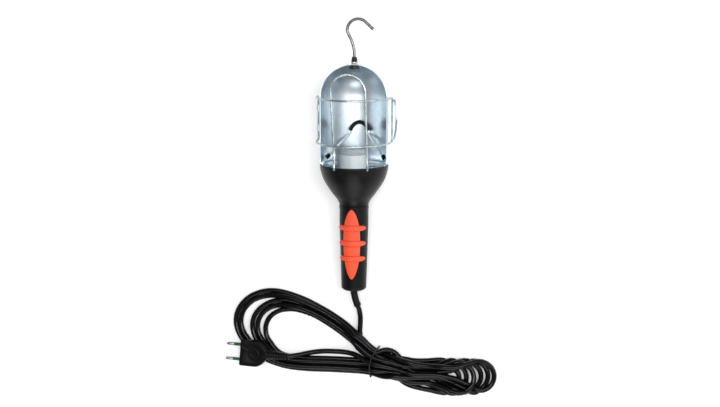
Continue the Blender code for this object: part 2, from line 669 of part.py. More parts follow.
# ---- mains lead outside ------------------------------------------------------------------
# Route on the surface, mm from the handle's end: x to the right, y towards the hook.
LEAD_ROUTE = ((7.2, -31.5, 6.6), (7.7, -38.0, 4.6), (7.5, -44.5, 3.6), (7.0, -51.6, 3.4))
HANK_HIGH = 20.0               # three layers of lead
FOLDS_HIGH = 25.0              # the folds at the right end pile up higher
LOOPS_HIGH = 6.9               # one layer, where the loops fan out
HANK_LEFT = -84.0              # where the strain relief's end meets the bundle
TIE_X = (24.0, 30.0)           # notch for the tie, along the bundle
TIE_Y = (-106.0, -73.0)        # and across it
TIE_NOTCH = 2.4                # its depth above and below
TIE_R = 0.8
LOOPS = ((HANK_LEFT - 1, -7.4), (-107, -4.6), (-124, -7.4), (-139, -13.6), (-151, -22.6), (-158.6, -34),
         (-160.8, -48), (-157.5, -62), (-150, -75), (-138, -87), (-122, -98), (-104, -106.5),
         (HANK_LEFT - 1, -111))
BUNDLE_TOP = ((-60, -14.5), (-38, -24), (-20, -34), (-6.5, -43.2), (3.4, -52.1), (11.4, -52.1), (17, -60.5))
BUNDLE_BASE = ((-60, -112), (-25, -111))
FOLD_CENTRE = (155.0, -104.0)
FOLD_R = 27.5


def build_lead():
    boot_end = lamp_to_floor(Vector(BOOT_PATH[-1]))
    boot_before = lamp_to_floor(Vector(BOOT_PATH[-2]))
    along = (boot_end - boot_before).normalized()
    start = boot_end + along * GAP
    straight = 3.0             # the lead leaves the boot in line with it
    route = [start, start + along * straight] + [floor_point(*p) for p in LEAD_ROUTE]
    wire("cable_lead", smooth_path(route, 2), CORD_R, "black_rubber")


def lamp_to_floor(point):
    """A point of the lamp's own frame, in mm, in the part's frame."""
    turn = Matrix.Rotation(LAY - pi / 2, 3, "X")
    return turn @ point + Vector((-ORIGIN_X, -ORIGIN_Y, AXIS_RISE))


def floor_outline(points):
    return [tuple(floor_point(x, y).xy) for x, y in points]


def build_hank():
    fold = []
    for i in range(11):
        a = pi / 2 - pi * i / 10
        fold.append((FOLD_CENTRE[0] + FOLD_R * cos(a), FOLD_CENTRE[1] + FOLD_R * sin(a)))
    left_x, right_x = TIE_X
    right_part = [(right_x, -69.5), (38, -72.5), (62, -77.5), (100, -79), (130, -77.5)] + fold
    right_part += [(120, -129.5), (80, -121.5), (50, -113.5), (right_x, -110.5)]
    left_part = [(HANK_LEFT + GAP, -7.6)] + list(BUNDLE_TOP) + [(left_x, -66), (left_x, -109.5)]
    left_part += list(reversed(BUNDLE_BASE)) + [(HANK_LEFT + GAP, -111.2)]
    hank = prism("cable_hank", floor_outline(left_part), 0.0, HANK_HIGH, "black_rubber")
    low_y, high_y = TIE_Y
    overlap = 2.0              # the narrow middle runs this far into both wide parts
    middle = [(left_x - overlap, high_y), (right_x + overlap, high_y),
              (right_x + overlap, low_y), (left_x - overlap, low_y)]
    loops = list(LOOPS) + [(HANK_LEFT + 4, -109), (HANK_LEFT + 4, -9)]
    pieces = (("join_right", right_part, 0.0, FOLDS_HIGH),
              ("join_middle", middle, TIE_NOTCH, HANK_HIGH - TIE_NOTCH),
              ("join_loops", loops, 0.0, LOOPS_HIGH))
    for name, outline, low, high in pieces:
        other = prism(name, floor_outline(outline), low, high, "black_rubber")
        other.hide_render = True
        other.display_type = "WIRE"
        combine(hank, other, "UNION")

    x = sum(TIE_X) / 2
    reach = TIE_R + GAP
    low_y, high_y = low_y - reach, high_y + reach
    low_z, high_z = TIE_NOTCH - reach, HANK_HIGH - TIE_NOTCH + reach
    tie = [(x, low_y + 1, low_z), (x, high_y - 1, low_z), (x, high_y, low_z + 1), (x, high_y, high_z - 1),
           (x, high_y - 1, high_z), (x, low_y + 1, high_z), (x, low_y, high_z - 1), (x, low_y, low_z + 1)]
    wire("hank_tie", [floor_point(*p) for p in tie], TIE_R, "black_plastic", closed=True)


# ---- plug --------------------------------------------------------------------------------
PLUG_BASE_Z = LOOPS_HIGH + GAP
PLUG_THICK = 13.7
PLUG_END = (-84.3, -90.4)      # end of the strain relief on the surface
PLUG_TURN = -2.6               # degrees
RELIEF_LONG = 28.6
BODY_LONG = 33.0
BODY_HALF = 16.8
PIN_LONG = 19.0
PIN_PITCH = 19.0
PIN_R = 2.0
PIN_TIP_R = 1.3                # the tip ends in a small flat
SLEEVE_LONG = 9.0              # insulated part of a pin


def build_plug():
    pivot = bpy.data.objects.new("plug_axis", None)
    bpy.context.scene.collection.objects.link(pivot)
    place = floor_point(*PLUG_END, PLUG_BASE_Z + PLUG_THICK / 2)
    pivot.location = place * MM
    pivot.rotation_euler = Euler((0, 0, radians(PLUG_TURN)))

    # Plug frame: the lead leaves along +X at the origin, the pins point to -X.
    shoulder = -RELIEF_LONG
    face = shoulder - BODY_LONG
    outline = [(shoulder, 6.2), (shoulder - 3, 9.5), (shoulder - 8, 14.6), (shoulder - 12, BODY_HALF - 0.4),
               (shoulder - 16, BODY_HALF), (face + 1.2, BODY_HALF), (face, BODY_HALF - 1.2)]
    outline += [(x, -y) for x, y in reversed(outline)]
    half = PLUG_THICK / 2
    bm = bmesh.new()
    layers = []
    for z, inset in ((-half, 1.0), (-half + 1.0, 0.0), (half - 1.0, 0.0), (half, 1.0)):
        line = []
        for x, y in outline:
            shrink = Vector((x, y)) - inset * Vector((0, 1 if y > 0 else -1))
            line.append(bm.verts.new((shrink.x * MM, shrink.y * MM, z * MM)))
        layers.append(line)
    bm.faces.new(layers[0])
    bm.faces.new(layers[-1])
    for low, high in zip(layers, layers[1:]):
        for i in range(len(outline)):
            j = (i + 1) % len(outline)
            bm.faces.new((low[i], low[j], high[j], high[i]))
    mesh_object("plug_body", bm, "black_plastic", pivot)

    to_lead = Matrix.Rotation(pi / 2, 4, "Y")
    ribs = [(0, shoulder + GAP)]
    count = 6
    pitch = (RELIEF_LONG - 4) / count
    for i in range(count):
        x = shoulder + GAP + 2 + pitch * i
        swell = 6.3 - 0.22 * i
        ribs += [(swell, x - 1.6 if i == 0 else x), (swell, x + pitch * 0.55),
                 (swell - 0.9, x + pitch * 0.62), (swell - 0.9, x + pitch * 0.93)]
    ribs += [(4.6, -1.2), (4.2, 0), (0, 0)]
    turned("plug_strain_relief", ribs, 12, "black_rubber", pivot, to_lead)

    to_pins = Matrix.Rotation(-pi / 2, 4, "Y")
    pin_places = [
        Matrix.Translation(Vector((face - GAP, side * PIN_PITCH / 2, 0)) * MM) @ to_pins for side in (-1, 1)
    ]
    bore = PIN_R - 0.35
    pin = [(0, 0), (bore, 0), (bore, SLEEVE_LONG + GAP), (PIN_R, SLEEVE_LONG + GAP),
           (PIN_R, PIN_LONG - 0.9), (PIN_TIP_R, PIN_LONG), (0, PIN_LONG)]
    turned_copies("plug_pin", pin, 12, "nickel", pivot, pin_places)
    sleeve_r = PIN_R - 0.02
    inner_r = bore + 0.1
    sleeve = [(inner_r, 0), (sleeve_r, 0), (sleeve_r, SLEEVE_LONG), (inner_r, SLEEVE_LONG)]
    turned_copies("pin_sleeve", sleeve, 12, "green_sleeve", pivot, pin_places)


def main():
    clear_scene()
    lamp = lay_lamp_down()
    build_handle(lamp)
    build_grip(lamp)
    build_reflector(lamp)
    build_stay(lamp)
    build_hook(lamp)
    build_guard(lamp)
    build_guard_fittings(lamp)
    build_lampholder(lamp)
    build_wiring(lamp)
    build_lead()
    build_hank()
    build_plug()


main()
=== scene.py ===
"""Looks for the portable work light: a lamp lying on its back, with its lead tied in a hank.

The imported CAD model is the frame. Metal, plastic and rubber get procedural materials, the mains
lead is one relaxed curve of its real length, and the pieces whose look needs finer shape than
the CAD solids give are rebuilt here from the same driving sizes.
Lengths are in metres; MM turns millimetres into metres.
"""
from collections import namedtuple
from math import atan2, cos, pi, radians, sin, sqrt

import bmesh
import bpy
import numpy as np
from mathutils import Matrix, Vector


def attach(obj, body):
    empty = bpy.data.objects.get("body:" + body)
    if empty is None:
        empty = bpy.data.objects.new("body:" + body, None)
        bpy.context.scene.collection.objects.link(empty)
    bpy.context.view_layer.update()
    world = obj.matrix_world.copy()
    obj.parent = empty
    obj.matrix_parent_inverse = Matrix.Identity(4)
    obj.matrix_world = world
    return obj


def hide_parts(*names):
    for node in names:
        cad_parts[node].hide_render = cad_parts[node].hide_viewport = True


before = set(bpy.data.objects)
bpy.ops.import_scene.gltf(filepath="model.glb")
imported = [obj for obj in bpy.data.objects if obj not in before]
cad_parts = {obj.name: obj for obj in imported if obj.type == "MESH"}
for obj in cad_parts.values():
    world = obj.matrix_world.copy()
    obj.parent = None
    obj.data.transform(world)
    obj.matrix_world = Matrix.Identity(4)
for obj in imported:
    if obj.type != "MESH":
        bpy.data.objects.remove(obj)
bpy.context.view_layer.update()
MM = 0.001


# ---- the lamp's own frame, in the row frame ----
# The lamp lies on its bowl's rim and on the end of its handle, as in the CAD source.
HANDLE_END_R = 15.75  # where the end of the handle rests on the surface
HANDLE_END_Z = 3.0
HANDLE_FACE_R = 12.6  # flat end face of the handle
RIM_R = 42.4  # where the bowl rests on the surface
RIM_Z = 155.5
LAMP_LONG = 341.0  # from the handle's end to the top of the hook
LAY = atan2(RIM_R - HANDLE_END_R, RIM_Z - HANDLE_END_Z)
AXIS_RISE = HANDLE_END_R * cos(LAY) - HANDLE_END_Z * sin(LAY)
ORIGIN_X = 2.8
ORIGIN_Y = (LAMP_LONG * cos(LAY) - HANDLE_FACE_R * sin(LAY)) / 2
TO_ROW = (Matrix.Translation(Vector((-ORIGIN_X, -ORIGIN_Y, AXIS_RISE)) * MM)
          @ Matrix.Rotation(LAY - pi / 2, 4, "X"))


def lamp_point(x, y, z):
    """A point of the lamp's own frame in mm (+Z to the hook, -Y the open front), in the row frame."""
    return TO_ROW @ (Vector((x, y, z)) * MM)


def floor_point(x, y, z=0.0):
    """Coordinates on the surface in mm, measured from the handle's end, in the row frame."""
    return Vector((x - ORIGIN_X, y - ORIGIN_Y, z)) * MM


# ---- camera, floor and light ----
def put(name, data):
    obj = bpy.data.objects.new(name, data)
    bpy.context.scene.collection.objects.link(obj)
    return obj


CAMERA_PLACE = (0.2417, -0.0615, 1.400)
CAMERA_TURN = (0.16, 9.84, 1.858)  # degrees about X, Y and Z
LENS = 55.31
FLOOR_DROP = 0.0005  # keeps the floor clear of what lies at z = 0


def make_camera():
    """Above the lamp and to its right, so that the grip looks turned a little."""
    data = bpy.data.cameras.new("camera")
    data.lens = LENS
    data.sensor_width = 36.0
    camera = put("camera", data)
    camera.location = CAMERA_PLACE
    turn = Matrix.Identity(4)
    for axis, angle in zip("XYZ", CAMERA_TURN):
        turn = turn @ Matrix.Rotation(radians(angle), 4, axis)
    camera.rotation_euler = turn.to_euler()
    bpy.context.scene.camera = camera


def make_floor():
    bpy.ops.mesh.primitive_plane_add(size=8.0, location=(0, 0, -FLOOR_DROP))
    floor = bpy.context.object
    floor.name = "floor"
    material, _, shader = new_material("floor_paint")
    values = {"Base Color": (0.93, 0.93, 0.93, 1), "Roughness": 0.9, "Specular IOR Level": 0.1,
              "Emission Color": (1, 1, 1, 1), "Emission Strength": 0.12}
    for socket, value in values.items():
        shader.inputs[socket].default_value = value
    floor.data.materials.append(material)


def area_light(name, place, aim, size, power):
    """A rectangular soft box: its place, aim and size are in metres, its power is in watts."""
    data = bpy.data.lights.new(name, "AREA")
    data.energy = power
    data.shape = "RECTANGLE"
    data.size, data.size_y = size
    light = put(name, data)
    light.location = place
    light.rotation_euler = (Vector(aim) - Vector(place)).to_track_quat("-Z", "Y").to_euler()


def make_lights():
    """A pale dome that is dimmest left of the middle, with soft boxes above, right and at the foot."""
    world = bpy.data.worlds.new("studio")
    bpy.context.scene.world = world
    world.use_nodes = True
    tree = world.node_tree
    toward = add(tree, "SeparateXYZ", {"Vector": add(tree, "TexCoord").outputs["Generated"]})
    ramp = add(tree, "ValToRGB", {"Fac": remap(tree, toward.outputs["X"], -1.0, 1.0)})
    ramp.color_ramp.interpolation = "EASE"
    greys = ((0.0, 0.62), (0.13, 0.26), (0.34, 0.28), (0.62, 0.52), (1.0, 0.85))  # left to right
    stops = ramp.color_ramp.elements
    while len(stops) < len(greys):
        stops.new(0.5)
    for element, (share, grey) in zip(stops, greys):
        element.position = share
        element.color = (grey, grey, grey * 1.02, 1)
    tree.links.new(ramp.outputs["Color"], tree.nodes["Background"].inputs["Color"])
    area_light("overhead", (0.33, 0.0, 2.2), (0, 0, 0), (0.34, 2.0), 31)
    area_light("right", (1.9, 0.3, 1.2), (0, 0, 0), (1.0, 1.6), 14)
    area_light("foot", (0.12, -1.8, 0.75), (0.0, 0.0, 0.2), (1.1, 1.7), 15)
    bpy.context.scene.view_settings.view_transform = "Standard"


# ---- the mains lead ----
LEAD_D = 6.5  # diameter, mm
LEAD_R = LEAD_D / 2
LOW = LEAD_R + 0.05  # height of a strand that lies on the surface
LAYER = 5.9  # rise of a strand that nests on the ones below
STEP = 3.2  # spacing of the points that are relaxed
ROUNDS = 500  # rounds of relaxing
CLEAR = LEAD_D * 1.01  # strands are pushed apart until their centres are this far apart
HOMING = 0.06  # share of the way back to its route that a point goes in a round
SINK = 0.08  # how far it sinks in a round
STIFF_REACH = 5  # points to each side that a point bends along with
TIE_LIFT = 1.4  # the strands ride this far up where the tie passes under them

# The innermost and outermost loops at the left end, from the tie along the lower side, round the
# end and back along the upper side. Those between are blends of the two.
INNER_LOOP = ((-4, -91.0), (-32, -91.2), (-60, -92.0), (-82, -91.8), (-99, -86.5), (-110.5, -75.5),
              (-116.4, -62), (-115.0, -48.5), (-107.0, -37.5), (-92, -30.2), (-74, -30.0), (-53, -35.6),
              (-30, -46.0), (-2, -63.0))
OUTER_LOOP = ((-4, -104.3), (-32, -104.5), (-60, -105.3), (-88, -103.4), (-113, -96.0), (-136, -81.6),
              (-151.5, -65), (-157, -47), (-151.5, -29), (-135, -14.4), (-109, -8.6), (-75, -15.0),
              (-42, -28.8), (-10, -48.6))
LOOP_SHARES = (0.0, 0.28, 0.46, 0.835, 1.0)  # 0 is the innermost loop and 1 the outermost
LOOP_LAYERS = (0, 1, 0, 1, 0)  # layer of each loop near the tie; round the end they lie flat
LOOP_CROSSING = 12  # from this station on, a loop crosses the others one layer up
TIE_X = 27.0
BUNDLE_Y = -104.0  # middle of the bundle right of the tie
HALFWAY_X = TIE_X + 27  # where a leg is halfway to its lane in the bundle
LANE_X = TIE_X + 50  # where it has reached its lane
FOLD_R = 19.0
# Folds at the right end, in the order the lead makes them: how far each reaches, its middle and
# its layer, then (y, layer) of its upper and lower leg in the tie and in the middle of the bundle.
Fold = namedtuple("Fold", "reach middle layer upper_tie lower_tie upper_lane lower_lane")
FOLDS = (
    Fold(140.0, -106.0, 0, (-85.2, 0), (-91.8, 0), (-88.4, 0), (-119.6, 0)),
    Fold(150.0, -105.5, 1, (-88.5, 1), (-95.1, 1), (-94.6, 0), (-113.6, 0)),
    Fold(159.0, -104.5, 2, (-85.2, 2), (-98.4, 0), (-94.6, 1), (-113.6, 1)),
    Fold(168.0, -103.5, 1, (-81.9, 1), (-101.7, 1), (-100.8, 0), (-107.2, 0)),
    Fold(176.0, -102.5, 1, (-79.3, 2), (-105.0, 0), (-100.8, 1), (-107.2, 1)),
    Fold(183.5, -101.5, 2, (-78.6, 0), (-91.8, 2), (-91.4, 2), (-104.0, 2)),
)
HUMP = ((36.5, -78.3), (45.5, -76.6), (54.5, -79.8))  # one upper leg bulges here, just past the tie
HUMP_FOLD = 4  # the fold whose upper leg it is, counted from 0
# From the boot to the tie, and from the tie over the bundle to the plug.
LEAD_IN = ((4.8, -21.0, 10.1), (6.2, -25.6, 8.7), (7.2, -31.5, 6.6), (7.7, -38, 4.6), (7.5, -44.5, 3.6),
           (7.0, -51.6, 3.4), (6.4, -58, 3.3), (6.8, -66, 3.3), (9.6, -75, 3.3), (16.0, -82.5, 3.8))
PLUG_TAIL = ((13, -88.0, 11.5), (3, -84.3, 6.5), (-12, -81.8, 3.5), (-36, -82.0, 3.3), (-52, -84.2, 5.0),
             (-66, -87.4, 10.2), (-76, -89.2, 13.4), (-84.3, -90.4, 14.05))


def layer_height(layer):
    return LOW + layer * LAYER


def arc_centre_x(fold):
    return fold.reach - LEAD_R - FOLD_R


def arc_overlap(lane_y):
    """How much nearer to the bundle's middle a lane runs than the side of an arc."""
    return FOLD_R - abs(lane_y - BUNDLE_Y)


def fold_leg(number, upper):
    """One leg of a fold, from the tie to just short of its arc, where it starts to spread."""
    fold = FOLDS[number]
    tie_y, tie_layer = fold.upper_tie if upper else fold.lower_tie
    lane_y, lane_layer = fold.upper_lane if upper else fold.lower_lane
    leg = [(TIE_X, tie_y, layer_height(tie_layer))]
    if upper and number == HUMP_FOLD:
        leg += [(*place, layer_height(tie_layer - 0.5)) for place in HUMP]
    else:
        leg.append((HALFWAY_X, (tie_y + lane_y) / 2, layer_height((tie_layer + lane_layer) / 2)))
    leg.append((LANE_X, lane_y, layer_height(lane_layer)))
    spread_x = arc_centre_x(fold) - 26 - 1.2 * arc_overlap(lane_y)
    if spread_x > LANE_X + 12:
        leg.append((spread_x, lane_y + (fold.middle - BUNDLE_Y) * 0.5, layer_height(lane_layer)))
    return leg


def fold_arc(fold):
    """The bend of a fold. It takes more than half a turn where its legs close in behind it."""
    start, end = (90 + 1.9 * arc_overlap(lane_y) for lane_y, _ in (fold.upper_lane, fold.lower_lane))
    steps = 10
    arc = []
    for i in range(steps + 1):
        a = radians(start - (start + end) * i / steps)
        arc.append((arc_centre_x(fold) + FOLD_R * cos(a), fold.middle + FOLD_R * sin(a),
                    layer_height(fold.layer)))
    return arc


def loop_stations(share, layer):
    """One loop at the left end. It lies flat round the end and on its layer towards the tie."""
    end = len(INNER_LOOP) // 2
    stations = []
    for i, (inner, outer) in enumerate(zip(INNER_LOOP, OUTER_LOOP)):
        in_bundle = min(1.0, max(0.0, (abs(i - end) - 2) / 3))
        z = layer_height(layer * in_bundle + (1 if i >= LOOP_CROSSING else 0))
        stations.append((inner[0] + (outer[0] - inner[0]) * share,
                         inner[1] + (outer[1] - inner[1]) * share, z))
    return stations


def lead_stations():
    """The lead's route from the boot to the plug: folds and loops by turns, and a fold last."""
    stations = list(LEAD_IN)
    for number, fold in enumerate(FOLDS):
        stations += fold_leg(number, True) + fold_arc(fold) + fold_leg(number, False)[::-1]
        if number < len(LOOP_SHARES):
            stations += loop_stations(LOOP_SHARES[number], LOOP_LAYERS[number])
    return stations + list(PLUG_TAIL)


def smooth_line(points, step):
    """Evenly spaced points along a Catmull-Rom curve through the stations."""
    p = np.array(points, float)
    p = np.vstack([2 * p[0] - p[1], p, 2 * p[-1] - p[-2]])
    parts = 12  # points worked out for each span
    fine = []
    for a, b, c, d in zip(p, p[1:], p[2:], p[3:]):
        for i in range(parts):
            t = i / parts
            fine.append(0.5 * (2 * b + (c - a) * t + (2 * a - 5 * b + 4 * c - d) * t ** 2
                               + (3 * b - a - 3 * c + d) * t ** 3))
    fine.append(p[-2])
    return spaced(np.array(fine), step)


def spaced(line, step):
    """The same line with its points about one step apart."""
    along = np.concatenate([[0], np.cumsum(np.linalg.norm(np.diff(line, axis=0), axis=1))])
    marks = np.linspace(0, along[-1], int(round(along[-1] / step)) + 1)
    return np.stack([np.interp(marks, along, line[:, i]) for i in range(3)], 1)


def eased(values, reach):
    """Each row averaged with its neighbours, with weights that fall off to nothing past reach."""
    weights = np.hanning(2 * reach + 3)[1:-1]
    weights /= weights.sum()
    padded = np.pad(values, ((reach, reach), (0, 0)), mode="edge")
    return np.stack([np.convolve(padded[:, i], weights, mode="valid") for i in range(3)], 1)


def close_pairs(p):
    """Pairs of the lead's points that lie close to each other without being neighbours on it."""
    square = (p ** 2).sum(1)
    apart = square[:, None] + square[None, :] - 2 * p @ p.T
    first, second = np.where(apart < (CLEAR * 1.6) ** 2)
    far = second - first > 6
    return first[far], second[far]


def push_apart(p, first, second, free):
    """Moves the free points in p apart where strands press into each other."""
    gap = p[second] - p[first]
    distance = np.linalg.norm(gap, axis=1)
    near = distance < CLEAR
    push = (CLEAR - distance[near])[:, None] * gap[near] / np.maximum(distance[near], 1e-6)[:, None]
    total = np.zeros_like(p)
    shares = np.zeros(len(p))
    np.add.at(total, second[near], push * 0.5)
    np.add.at(total, first[near], -push * 0.5)
    np.add.at(shares, second[near], 1)
    np.add.at(shares, first[near], 1)
    p[free] += (total / np.sqrt(np.maximum(shares, 1))[:, None])[free]


def keep_length(p, rest, free):
    """Moves the free points in p so that every link keeps its length, the even links first."""
    for start in (0, 1):
        a = np.arange(start, len(p) - 1, 2)
        link = p[a + 1] - p[a]
        long = np.linalg.norm(link, axis=1)
        fix = link * ((long - rest) / long)[:, None] * 0.5
        p[a] += fix * free[a][:, None]
        p[a + 1] -= fix * free[a + 1][:, None]


def relax(home):
    """Lets the lead settle: strands push apart and sink, and each bends as one stiff line."""
    p = home.copy()
    order = np.arange(len(p))
    rest = np.linalg.norm(np.diff(home, axis=0), axis=1).mean()
    free = np.ones(len(p), bool)
    free[:2] = False  # the ends stay in the boot and in the plug
    free[-3:] = False
    hold = np.minimum(1, np.minimum(order, order[::-1]) / 6)[:, None]
    floor = LOW + TIE_LIFT * np.exp(-((home[:, 0] - TIE_X) / 12) ** 2)
    for turn in range(ROUNDS):
        late = turn > ROUNDS * 0.7  # the last rounds smooth less and push more
        p[free, :2] += (home[free, :2] - p[free, :2]) * HOMING
        p[free, 2] -= SINK
        shift = p - home
        p = home + shift + (eased(shift, STIFF_REACH) - shift) * (0.25 if late else 0.5) * hold
        if turn % 8 == 0:
            first, second = close_pairs(p)
        for _ in range(6 if late else 3):
            push_apart(p, first, second, free)
            keep_length(p, rest, free)
            p[:, 2] = np.maximum(p[:, 2], floor)
    return p


def tube(name, points, radius, material, resolution=6, closed=False):
    """A curve with a round section through points in metres."""
    curve = bpy.data.curves.new(name, "CURVE")
    curve.dimensions = "3D"
    curve.bevel_depth = radius
    curve.bevel_resolution = resolution
    curve.use_fill_caps = not closed
    spline = curve.splines.new("POLY")
    spline.points.add(len(points) - 1)
    for slot, point in zip(spline.points, points):
        slot.co = (*point, 1.0)
    spline.use_smooth = True
    spline.use_cyclic_u = closed
    curve.materials.append(material)
    return put(name, curve)


def build_lead(on_lead):
    """The lead from the boot to the plug, with its tie. on_lead is not used."""
    line = relax(smooth_line(lead_stations(), STEP))
    points = [floor_point(*p) for p in line]
    lead = tube("mains_lead", points, LEAD_R * MM, lead_rubber())
    enter(lead, "lamp", ("cable_lead", "cable_hank"))
    tie = build_tie(line)


TIE_R = 0.75


def tie_shift(y):
    """How far right of TIE_X the tie lies at y: it bows to the right at both ends and slants."""
    bow = 4.6 * ((y + 97) / 20) ** 2
    slant = 0.12 * (y + 90)
    return bow + slant - 2.6


def build_tie(line):
    """A thin band pulled tight round the strands: the hull of their circles, leaning as it lies."""
    places = line[np.abs(line[:, 0] - TIE_X) < 3.5, 1:]
    reach = LEAD_R + TIE_R + 0.1
    points = []
    for a in round_angles(72):
        out = np.array([cos(a), sin(a)])
        y, z = places[(places @ out).argmax()] + out * reach
        points.append(floor_point(TIE_X + tie_shift(y), y, max(z, TIE_R)))
    tie = tube("twist_tie", points, TIE_R * MM, BLACK, 4, closed=True)
    return enter(tie, "lamp", ("hank_tie",))


# ---- materials ----
def add(tree, kind, inputs=None, **settings):
    """A shader node with its settings, and its inputs set to values or linked to other outputs."""
    node = tree.nodes.new("ShaderNode" + kind)
    for key, value in settings.items():
        setattr(node, key, value)
    for key, value in (inputs or {}).items():
        if isinstance(value, bpy.types.NodeSocket):
            tree.links.new(value, node.inputs[key])
        else:
            node.inputs[key].default_value = value
    return node


def mix(tree, share, first, second):
    """The colour output of a blend; 6, 7 and 2 are the colour sockets of the Mix node."""
    return add(tree, "Mix", {"Factor": share, 6: first, 7: second}, data_type="RGBA").outputs[2]


def remap(tree, value, low, high, to_low=0.0, to_high=1.0, **settings):
    """The output of a node that maps low to high onto to_low to to_high."""
    ends = {"From Min": low, "From Max": high, "To Min": to_low, "To Max": to_high}
    return add(tree, "MapRange", {"Value": value, **ends}, **settings).outputs["Result"]


def lamp_coordinates(tree, stretch=(1, 1, 1)):
    """Coordinates in the lamp's own frame, in metres; stretch draws a pattern out along its axes."""
    inputs = {"Vector": add(tree, "TexCoord").outputs["Object"], "Location": TO_ROW.translation,
              "Rotation": (LAY - pi / 2, 0, 0), "Scale": stretch}
    return add(tree, "Mapping", inputs, vector_type="TEXTURE").outputs["Vector"]


def new_material(name):
    material = bpy.data.materials.new(name)
    material.use_nodes = True
    return material, material.node_tree, material.node_tree.nodes["Principled BSDF"]


def surface(name, colour, roughness, metallic=0.0, specular=0.5, mottle=0.1, mottle_size=5.0,
            grain=0.3, grain_depth=0.02, stretch=(1, 1, 1), spread=0.07, wear=0.0):
    """A procedural finish: cloudy colour, uneven gloss, fine grain and rubbed edges.

    mottle and spread are how far the colour and the roughness vary; mottle_size, grain and
    grain_depth are in mm; wear is how far the sharp edges go towards a paler colour.
    """
    material, tree, shader = new_material(name)
    place = lamp_coordinates(tree, stretch)
    cloud = add(tree, "TexNoise", {"Vector": place, "Scale": 1 / (mottle_size * MM), "Detail": 5.0})
    fine = add(tree, "TexNoise", {"Vector": place, "Scale": 1 / (grain * MM), "Detail": 2.0})
    dark = [c * (1 - mottle) for c in colour]
    light = [min(1.0, c * (1 + mottle)) for c in colour]
    tone = mix(tree, remap(tree, cloud.outputs["Fac"], 0.3, 0.7), (*dark, 1), (*light, 1))
    if wear:
        rubbed = remap(tree, add(tree, "NewGeometry").outputs["Pointiness"], 0.52, 0.62, 0.0, wear)
        pale = [c + (0.5 - c) * 0.35 for c in colour]
        tone = mix(tree, rubbed, tone, (*pale, 1))
    tree.links.new(tone, shader.inputs["Base Color"])
    gloss = remap(tree, cloud.outputs["Fac"], 0.3, 0.7, max(0.04, roughness - spread), roughness + spread)
    tree.links.new(gloss, shader.inputs["Roughness"])
    relief = add(tree, "Bump", {"Height": fine.outputs["Fac"], "Distance": grain_depth * MM,
                                "Strength": 0.5})
    tree.links.new(relief.outputs["Normal"], shader.inputs["Normal"])
    shader.inputs["Metallic"].default_value = metallic
    shader.inputs["Specular IOR Level"].default_value = specular
    return material


def handle_plastic():
    return surface("handle_plastic", (0.003, 0.003, 0.0034), 0.35, specular=0.16, mottle=0.25,
                   mottle_size=14.0, grain=0.45, grain_depth=0.04, wear=0.08)


def small_plastic():
    return surface("small_plastic", (0.004, 0.004, 0.0045), 0.34, specular=0.25, mottle=0.2,
                   grain_depth=0.03, wear=0.1)


def plug_plastic():
    return surface("plug_plastic", (0.0018, 0.0018, 0.0024), 0.36, specular=0.09, mottle=0.25,
                   mottle_size=8.0, grain=0.4, grain_depth=0.03, wear=0.12)


def grip_rubber():
    """Orange soft rubber with a fine square grid pressed into it, its grooves painted darker as painted
    shade.
    """
    material = surface("grip_rubber", (0.84, 0.085, 0.026), 0.46, specular=0.45, mottle=0.06,
                       mottle_size=9.0, grain=0.35, grain_depth=0.04)
    tree = material.node_tree
    shader = tree.nodes["Principled BSDF"]
    place = add(tree, "SeparateXYZ", {"Vector": lamp_coordinates(tree)})
    pitch = 2.1 * MM
    lines = []
    for axis in ("X", "Z"):
        wave = add(tree, "Math", {0: place.outputs[axis], 1: pitch / 2}, operation="PINGPONG")
        lines.append(remap(tree, wave.outputs[0], 0.0, pitch * 0.16, interpolation_type="SMOOTHSTEP"))
    grid = add(tree, "Math", {0: lines[0], 1: lines[1]}, operation="MULTIPLY")
    pressed = add(tree, "Bump", {"Height": grid.outputs[0], "Distance": 0.22 * MM, "Strength": 0.7})
    tree.links.new(shader.inputs["Normal"].links[0].from_socket, pressed.inputs["Normal"])
    tree.links.new(pressed.outputs["Normal"], shader.inputs["Normal"])
    tone = shader.inputs["Base Color"].links[0].from_socket
    # painted shade: the grid's pressed lines get a darker orange, standing in for the shade inside them
    groove = mix(tree, grid.outputs[0], (0.60, 0.042, 0.012, 1), tone)
    tree.links.new(groove, shader.inputs["Base Color"])
    return material


def galvanised():
    """Bright zinc-coated sheet, drawn along the lamp, with a faint spangle."""
    material = surface("galvanised_sheet", (0.675, 0.745, 0.795), 0.31, metallic=1.0, mottle=0.04,
                       mottle_size=7.0, grain=0.6, grain_depth=0.003, stretch=(1, 1, 8), spread=0.03)
    tree = material.node_tree
    shader = tree.nodes["Principled BSDF"]
    cells = add(tree, "TexVoronoi", {"Vector": lamp_coordinates(tree), "Scale": 1 / (5.0 * MM)})
    tint = add(tree, "SeparateColor", {"Color": cells.outputs["Color"]})
    spangle = remap(tree, tint.outputs["Red"], 0.0, 1.0, 0.95, 1.04)
    tone = shader.inputs["Base Color"].links[0].from_socket
    mixed = add(tree, "VectorMath", {0: tone, "Scale": spangle}, operation="SCALE")
    tree.links.new(mixed.outputs[0], shader.inputs["Base Color"])
    return material


def plated_wire(name, colour, roughness, mottle):
    return surface(name, colour, roughness, metallic=1.0, mottle=mottle, mottle_size=6.0, spread=0.06)


def zinc():
    return plated_wire("zinc_wire", (0.39, 0.45, 0.465), 0.26, 0.1)


def hook_zinc():
    return plated_wire("hook_zinc", (0.155, 0.16, 0.16), 0.27, 0.18)


def stay_zinc():
    return surface("stay_zinc", (0.80, 0.86, 0.88), 0.42, metallic=1.0, mottle=0.08)


def thermoset():
    return surface("white_thermoset", (0.54, 0.595, 0.61), 0.35, specular=0.4, mottle=0.05,
                   mottle_size=6.0)


def collar_thermoset():
    return surface("collar_thermoset", (0.33, 0.39, 0.42), 0.4, specular=0.4, mottle=0.08)


